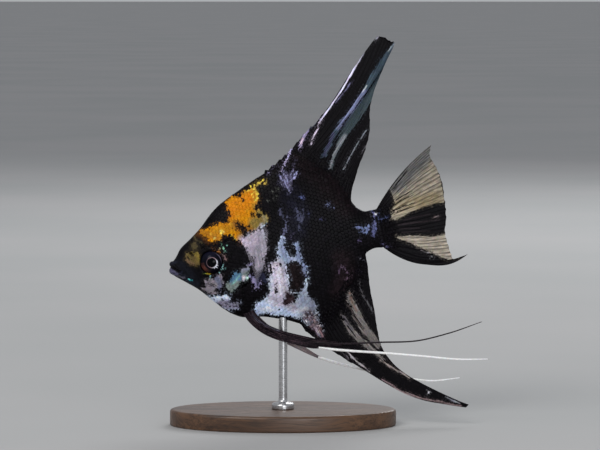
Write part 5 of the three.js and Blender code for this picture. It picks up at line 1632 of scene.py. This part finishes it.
def base_roots(pitch, chance):
    """Roots of the small scales that run up onto the dorsal, anal and tail fins."""
    roots = []
    for outline, up in ((back, 1), (belly, -1)):
        for column, x in enumerate(np.arange(*FIN_COAT_X, pitch * SCALE_ROW)):
            slope = float(outline(x + 0.3) - outline(x - 0.3)) / 0.6
            length = math.hypot(1, slope)
            for row in range(9):
                above = (row + 0.5 * (column % 2)) * pitch - 0.9
                if chance.random() < smooth(*FIN_COAT_HEIGHT, above):
                    continue
                root_x, root_z = x - up * above * slope / length, float(outline(x)) + up * above / length
                roots.append((root_x, root_z, 62 + above + 12 * (up < 0), 1.0 - 0.05 * max(above, 0)))
    for column, z in enumerate(np.arange(*TAIL_COAT_Z, pitch * SCALE_ROW)):
        for row in range(7):
            x = STANDARD_LENGTH + (row + 0.5 * (column % 2)) * pitch
            out = x - STANDARD_LENGTH
            if chance.random() > smooth(*TAIL_COAT_LENGTH, out):
                roots.append((x, z * (1 + 0.03 * out), 40 + z, 1.0 - 0.05 * out))
    return np.array(roots)


def naked(x, z):
    """Where the head carries no scales."""
    spread = np.hypot(x - EYE["x"], z - EYE["z"])
    snout = x < BARE_SNOUT + 0.25 * np.abs(z + 1)
    return (spread < BARE_EYE) | snout | (in_stroke(x, z, GILL_COVER_EDGE, [BARE_COVER_EDGE]) > 0)


def scale_shape():
    """One scale: a curved plate with a skirt and a floor, its height kept apart as z."""
    wide, long = 6, 6
    u, v = np.meshgrid(np.linspace(0, 1, long), np.linspace(-1, 1, wide), indexing="ij")
    width = np.sqrt(np.clip(1 - (np.clip(u - 0.45, 0, 1) / 0.56) ** 2, 0.02, 1)) * 0.62
    rise = 0.02 + 0.068 * smooth(0, 0.75, u) - 0.034 * v ** 2 - 0.02 * smooth(0.8, 1.0, u)
    top = np.stack([u * 1.42 - 0.52, v * width, rise], -1).reshape(-1, 3)
    count = long * wide
    rim = np.concatenate([
        np.arange(wide), wide * np.arange(1, long) + wide - 1,
        (long - 1) * wide + np.arange(wide - 2, -1, -1), wide * np.arange(long - 2, 0, -1),
    ])
    skirt = top[rim].copy()
    skirt[:, 2] = -0.06
    i = np.arange(len(rim))
    n = (i + 1) % len(rim)
    walls = np.stack([rim[i], count + i, count + n, rim[n]], 1)
    floor = np.stack([np.full(len(rim) - 2, count), count + i[2:], count + i[1:-1]], 1)
    edge = np.maximum(smooth(0.55, 0.95, u), smooth(0.7, 1.0, np.abs(v)) * smooth(0.2, 0.5, u)).ravel()
    quads = np.concatenate([grid_faces(long, wide), walls])
    return np.concatenate([top, skirt]), quads, floor, np.concatenate([edge, edge[rim]])


def lie_of(x, z):
    """Which way scales lie: towards the tail on the body, along the rays on the fins."""
    rise = 0.5 * float(back(min(x + 1, 80)) - back(min(x, 79))) * float(smooth(-4, 22, z))
    fall = 0.5 * float(belly(min(x + 1, 80)) - belly(min(x, 79))) * float(smooth(4, -22, z))
    on_body = 0.6 * float(np.clip(rise + fall, -1.2, 1.2))
    xs = min(x, LAST_SECTION)
    off = float(smooth(-1.0, 3.0, max(z - float(back(xs)), float(belly(xs)) - z)))
    steep = math.copysign(math.tan(math.radians(50 + 0.6 * (x - 40))), z) if x < 78 else 0.05 * z
    return Vector((1.0, 0.0, mix(on_body, steep, off))).normalized()


def scale_plates(roots, side, pitch, thick, chance):
    """Every scale at its root, each of its points laid down onto the skin or fin beneath."""
    shape, quads, floor, edge = scale_shape()
    points, quad_list, tri_list, seats, shade = [], [], [], [], []
    for x, z, place_at, share in roots:
        found = bed.ray_cast(Vector((x, side * 14.0, z)), Vector((0, -side, 0)))
        if found[0] is None and place_at > 38:
            continue
        if found[0] is None:
            inside = side * float(side_at(min(x, LAST_SECTION), 0.5)) * 0.8
            found = skin_tree.find_nearest(Vector((x, inside, z)))
        centre, normal = found[0], found[1]
        if normal.y * side < 0:
            normal = -normal
        tail = lie_of(x, z)
        tail = (tail - normal * tail.dot(normal)).normalized()
        cross = normal.cross(tail).normalized()
        size, turn = pitch * share * (1 + 0.05 * chance.standard_normal()), 0.05 * chance.standard_normal()
        c, s = math.cos(turn), math.sin(turn)
        lift = thick * (1 + 0.15 * chance.standard_normal())
        a = (shape[:, 0] * c - shape[:, 1] * s) * size
        b = (shape[:, 0] * s + shape[:, 1] * c) * size
        placed = []
        flat = np.array(centre) + a[:, None] * np.array(tail) + b[:, None] * np.array(cross)
        for at, height in zip(flat, shape[:, 2]):
            near = bed.ray_cast(Vector(at) + normal * 1.5, -normal, 3.0)
            if near[0] is None or near[1].dot(normal) < 0.2:
                near = bed.find_nearest(Vector(at))
            placed.append(near[0] + near[1] * float(height * (lift if height > 0 else 1)))
        start = len(points) * len(shape)
        points.append(placed)
        quad_list.append(quads + start)
        tri_list.append(floor + start)
        seats.append((x, place_at))
        shade.append(chance.random())
    cloud = np.array(points).reshape(-1, 3)
    seats = np.array(seats) / 90 + (0.05, 0.08)
    uv = np.repeat(seats, len(shape), 0) + np.tile(shape[:, :2] * 0.0012, (len(seats), 1))
    faces = [np.concatenate(quad_list), np.concatenate(tri_list)]
    return cloud, faces, uv, np.tile(edge, len(seats)), np.repeat(shade, len(shape))


def scale_coat(name, side, pitch, thick, seed, fins):
    """One mesh of all the scales on one side, of the body or of the fins."""
    chance = np.random.default_rng(seed)
    roots = base_roots(pitch, chance) if fins else scale_roots(pitch)
    roots = roots[~naked(roots[:, 0], roots[:, 1])]
    cloud, faces, uv, edge, shade = scale_plates(roots, side, pitch, thick, chance)
    fields = body_markings(cloud)
    if fins:
        for kind in FIN_MARKS:
            fin = fin_markings(cloud, kind)
            more = fin["mark"] > fields["mark"]
            for key, values in fields.items():
                fields[key] = np.where(more[:, None] if values.ndim > 1 else more, fin[key], values)
    tone = (0.90 + 0.2 * shade)[:, None] * (1 - 0.20 * edge[:, None])
    fields["tint"] = fields["tint"] * tone
    fields["ground"] = fields["ground"] * (0.6 + 0.8 * shade)[:, None]
    fields["mark"] = fields["mark"] - 0.4 * edge + 0.4 * (shade - 0.5) + 0.08
    coat = piece(name, cloud, faces, SCALES, fields)
    layer = coat.data.uv_layers.new(name="OFBake")
    corner = np.empty(len(coat.data.loops), np.int32)
    coat.data.loops.foreach_get("vertex_index", corner)
    layer.data.foreach_set("uv", uv[corner].astype(np.float32).ravel())
    return coat


for name, side, pitch, thick, seed, fins in [
    ("scales_left", -1, BODY_SCALE, 1.0, 11, False),
    ("scales_right", 1, BODY_SCALE, 1.0, 12, False),
    ("scales_fins_left", -1, FIN_SCALE, 0.6, 13, True),
    ("scales_fins_right", 1, FIN_SCALE, 0.6, 14, True),
]:
    scale_coat(name, side, pitch, thick, seed, fins)


# ------------------------------------------------------------------ eyes
PUPIL_CENTRE = 0.45  # how far behind the eye's middle the pupil's middle lies
PUPIL_EDGE = (1.68, 1.78)


def eye_colours(u, w):
    """The iris and pupil, from the distance along and up from the eye's middle."""
    spread, angle = np.hypot(u - PUPIL_CENTRE, w), np.arctan2(w, u - PUPIL_CENTRE)
    colour = np.tile(srgb(11, 11, 20), (len(u), 1))
    sky = smooth(0.3, 1.5, angle) * (1 - smooth(1.5, 2.9, angle))
    rust = falloff(np.abs(angle) - 2.65, 0.42) * (w < 0.4) * smooth(2.6, 3.2, spread)
    rim_light = falloff(angle - 0.45, 0.5) * falloff(np.hypot(u, w) - 3.8, 0.12)
    thin = falloff(spread - 1.88, 0.11) * (0.6 + 0.35 * np.cos(angle + 0.4))
    low, ahead = falloff(angle + 1.0, 0.62), falloff(angle - 0.05, 0.42)
    spikes = 0.5 + 0.5 * np.sin(angle * 31) * np.sin(angle * 13 + 1)
    reach = 2.02 + 1.15 * low * spikes + 0.26 * ahead
    flare = np.clip(low * 1.2 + ahead, 0, 1) * smooth(1.74, 1.84, spread)
    flare = flare * (1 - smooth(reach - 0.3, reach, spread))
    for share, light in [
        (sky * 0.8, (21, 21, 38)),
        (rust * 0.85, (98, 56, 48)),
        (rim_light, (120, 110, 130)),
        (np.clip(thin, 0, 1), (196, 160, 170)),
        (flare, (236, 238, 250)),
        (1 - smooth(*PUPIL_EDGE, spread), (2, 3, 6)),
    ]:
        colour = mix(colour, srgb(*light), share[:, None])
    return colour


def eye(side):
    """A domed eye that is set a little forward, with its back inside the socket."""
    rings, around = 48, 96
    r = np.linspace(0, 1, rings) * EYE["radius"]
    turn = np.linspace(0, 2 * np.pi, around, endpoint=False)
    curve = (EYE["radius"] ** 2 + EYE["dome"] ** 2) / (2 * EYE["dome"])
    rr, aa = np.meshgrid(r, turn, indexing="ij")
    h = np.sqrt(np.maximum(curve ** 2 - rr ** 2, 0)) - (curve - EYE["dome"])
    u, w = rr * np.cos(aa), rr * np.sin(aa)
    c, s = math.cos(EYE_TURN), math.sin(EYE_TURN)
    x, y, z = EYE["x"] + u * c - h * s, side * (EYE["outward"] + h * c + u * s), EYE["z"] + w
    front = np.stack([x, y, z], -1).reshape(-1, 3)
    back_ring = front[-around:].copy()
    back_ring[:, 1] -= side * EYE_SOCKET["floor"]
    points = np.concatenate([front, back_ring, back_ring.mean(0, keepdims=True)])
    i, start = np.arange(around), rings * around
    cap = np.stack([start + i, start + (i + 1) % around, np.full(around, len(points) - 1)], 1)
    faces = [grid_faces(rings + 1, around, wrap=True), cap]
    tint = eye_colours(np.concatenate([u.ravel(), u[-1], [0]]), np.concatenate([w.ravel(), w[-1], [0]]))
    name = f"eye_{side_name(side)}"
    return piece(f"{name}_render", points, faces, EYE_GLOSS, {"tint": tint}, [name])


eye(-1)
eye(1)


# ------------------------------------------------------------------ stand
def stand_piece(node, points, faces, material):
    return piece(f"{node}_render", points, faces, material, nodes=[node], placed=upright)


def ring_of(across_x, across_y, height, turn):
    return np.stack([across_x * np.cos(turn), across_y * np.sin(turn), np.full(len(turn), height)], 1)


def rounded(r0, z0, r1, z1, r2, z2, steps=8):
    """A quarter turn from one point of a section to another by way of a corner."""
    def bend(a, start, corner, end):
        return (1 - a) ** 2 * start + 2 * a * (1 - a) * corner + a * a * end

    return [(bend(a, r0, r1, r2), bend(a, z0, z1, z2)) for a in np.linspace(0, 1, steps)]


def base():
    """The oval foot: each ring of its section keeps the same distance from the edge."""
    a, b, h, bevel = BASE["length"] / 2, BASE["width"] / 2, BASE["height"], BASE["bevel"]
    around, soft = 192, BASE["bevel"] * 0.6
    turn = np.linspace(0, 2 * np.pi, around, endpoint=False)
    inset = [(bevel, 0.0)] + rounded(soft, 0.0, 0, 0.0, 0, soft)
    inset += rounded(0, h - bevel, 0, h, bevel, h) + [(bevel * 1.6, h)]
    rings = [ring_of(a - d, b - d, z, turn) for d, z in inset]
    for share in np.linspace(0.9, 0.02, 14):
        rings.append(ring_of((a - bevel) * share, (b - bevel) * share, h, turn))
    points = np.concatenate(rings + [[(0, 0, h), (0, 0, 0)]])
    i, start = np.arange(around), (len(rings) - 1) * around
    n = (i + 1) % around
    caps = np.concatenate([
        np.stack([start + i, start + n, np.full(around, len(points) - 2)], 1),
        np.stack([n, i, np.full(around, len(points) - 1)], 1),
    ])
    faces = [grid_faces(len(rings), around, wrap=True), caps]
    return stand_piece("stand_base", points, faces, WALNUT)


def rod():
    """The steel rod and its collar, turned from one section of (radius, height)."""
    foot, r, top = BASE["height"] + ROD["gap"], ROD["radius"], ROD["top"]
    collar, height, around = ROD["collar"], ROD["collar_height"], 64
    section = [(0.01, foot), (collar - 0.3, foot)]
    for corner in [
        (collar - 0.25, foot, collar, foot, collar, foot + 0.3),
        (collar, foot + height * 0.55, collar, foot + height * 0.95, collar * 0.72, foot + height * 0.98),
        (collar * 0.6, foot + height, r, foot + height * 1.02, r, foot + height * 1.7),
    ]:
        section += rounded(*corner)
    section += [(r, z) for z in np.linspace(foot + height * 2, top, 24)] + [(0.01, top)]
    turn = np.linspace(0, 2 * np.pi, around, endpoint=False)
    points = np.concatenate([ring_of(radius, radius, z, turn) for radius, z in section])
    faces = grid_faces(len(section), around, wrap=True)
    return stand_piece("stand_rod", points, faces, STEEL)


base()
rod()


# ------------------------------------------------------------------ floor, light and camera
FLOOR_HALF = 150  # metres, so that the floor reaches the horizon
FLOOR_CORNERS = [(-1, -1, 0), (1, -1, 0), (1, 1, 0), (-1, 1, 0)]
TARGET = (0.0063, 0.0, 0.0744)  # what the camera and the lights look at, in metres
SKY, SKY_STRENGTH = (0.93, 0.95, 1.0, 1), 0.44
LIGHTS = [  # name, place, size, power, colour
    ("key", (-0.7, -1.1, 1.1), 0.9, 12, (1.0, 0.98, 0.95)),
    ("fill", (0.3, -1.4, 0.1), 0.6, 6.2, (0.94, 0.97, 1.0)),
    ("back", (0.4, 1.2, 1.0), 0.9, 9, (1, 1, 1)),
]
CAMERA_DISTANCE, CAMERA_UP = 1.2, math.radians(4)
SENSOR = 36.0  # mm

floor_points = np.array(FLOOR_CORNERS, float) * FLOOR_HALF
floor = add_object("floor", mesh_from("floor", floor_points, np.array([(0, 1, 2, 3)])))
floor.data.materials.append(floor_material())

world = bpy.data.worlds.new("studio")
world.use_nodes = True
sky = world.node_tree.nodes["Background"].inputs
sky["Color"].default_value = SKY
sky["Strength"].default_value = SKY_STRENGTH
bpy.context.scene.world = world
bpy.context.scene.view_settings.view_transform = "Standard"


def look_at_target(made):
    made.rotation_euler = (Vector(TARGET) - Vector(made.location)).to_track_quat("-Z", "Y").to_euler()


for name, place, size, power, colour in LIGHTS:
    lamp = bpy.data.lights.new(name, "AREA")
    lamp.shape, lamp.size, lamp.energy, lamp.color = "DISK", size, power, colour
    light = add_object(name, lamp)
    light.location = place
    look_at_target(light)

camera = add_object("camera", bpy.data.cameras.new("camera"))
camera.location = (
    TARGET[0],
    TARGET[1] - CAMERA_DISTANCE * math.cos(CAMERA_UP),
    TARGET[2] + CAMERA_DISTANCE * math.sin(CAMERA_UP),
)
look_at_target(camera)
camera.data.sensor_width = SENSOR
camera.data.lens = SENSOR * CAMERA_DISTANCE * 1000 / (PHOTO_WIDTH * PHOTO_STEP)
camera.data.clip_end = 400
bpy.context.scene.camera = camera
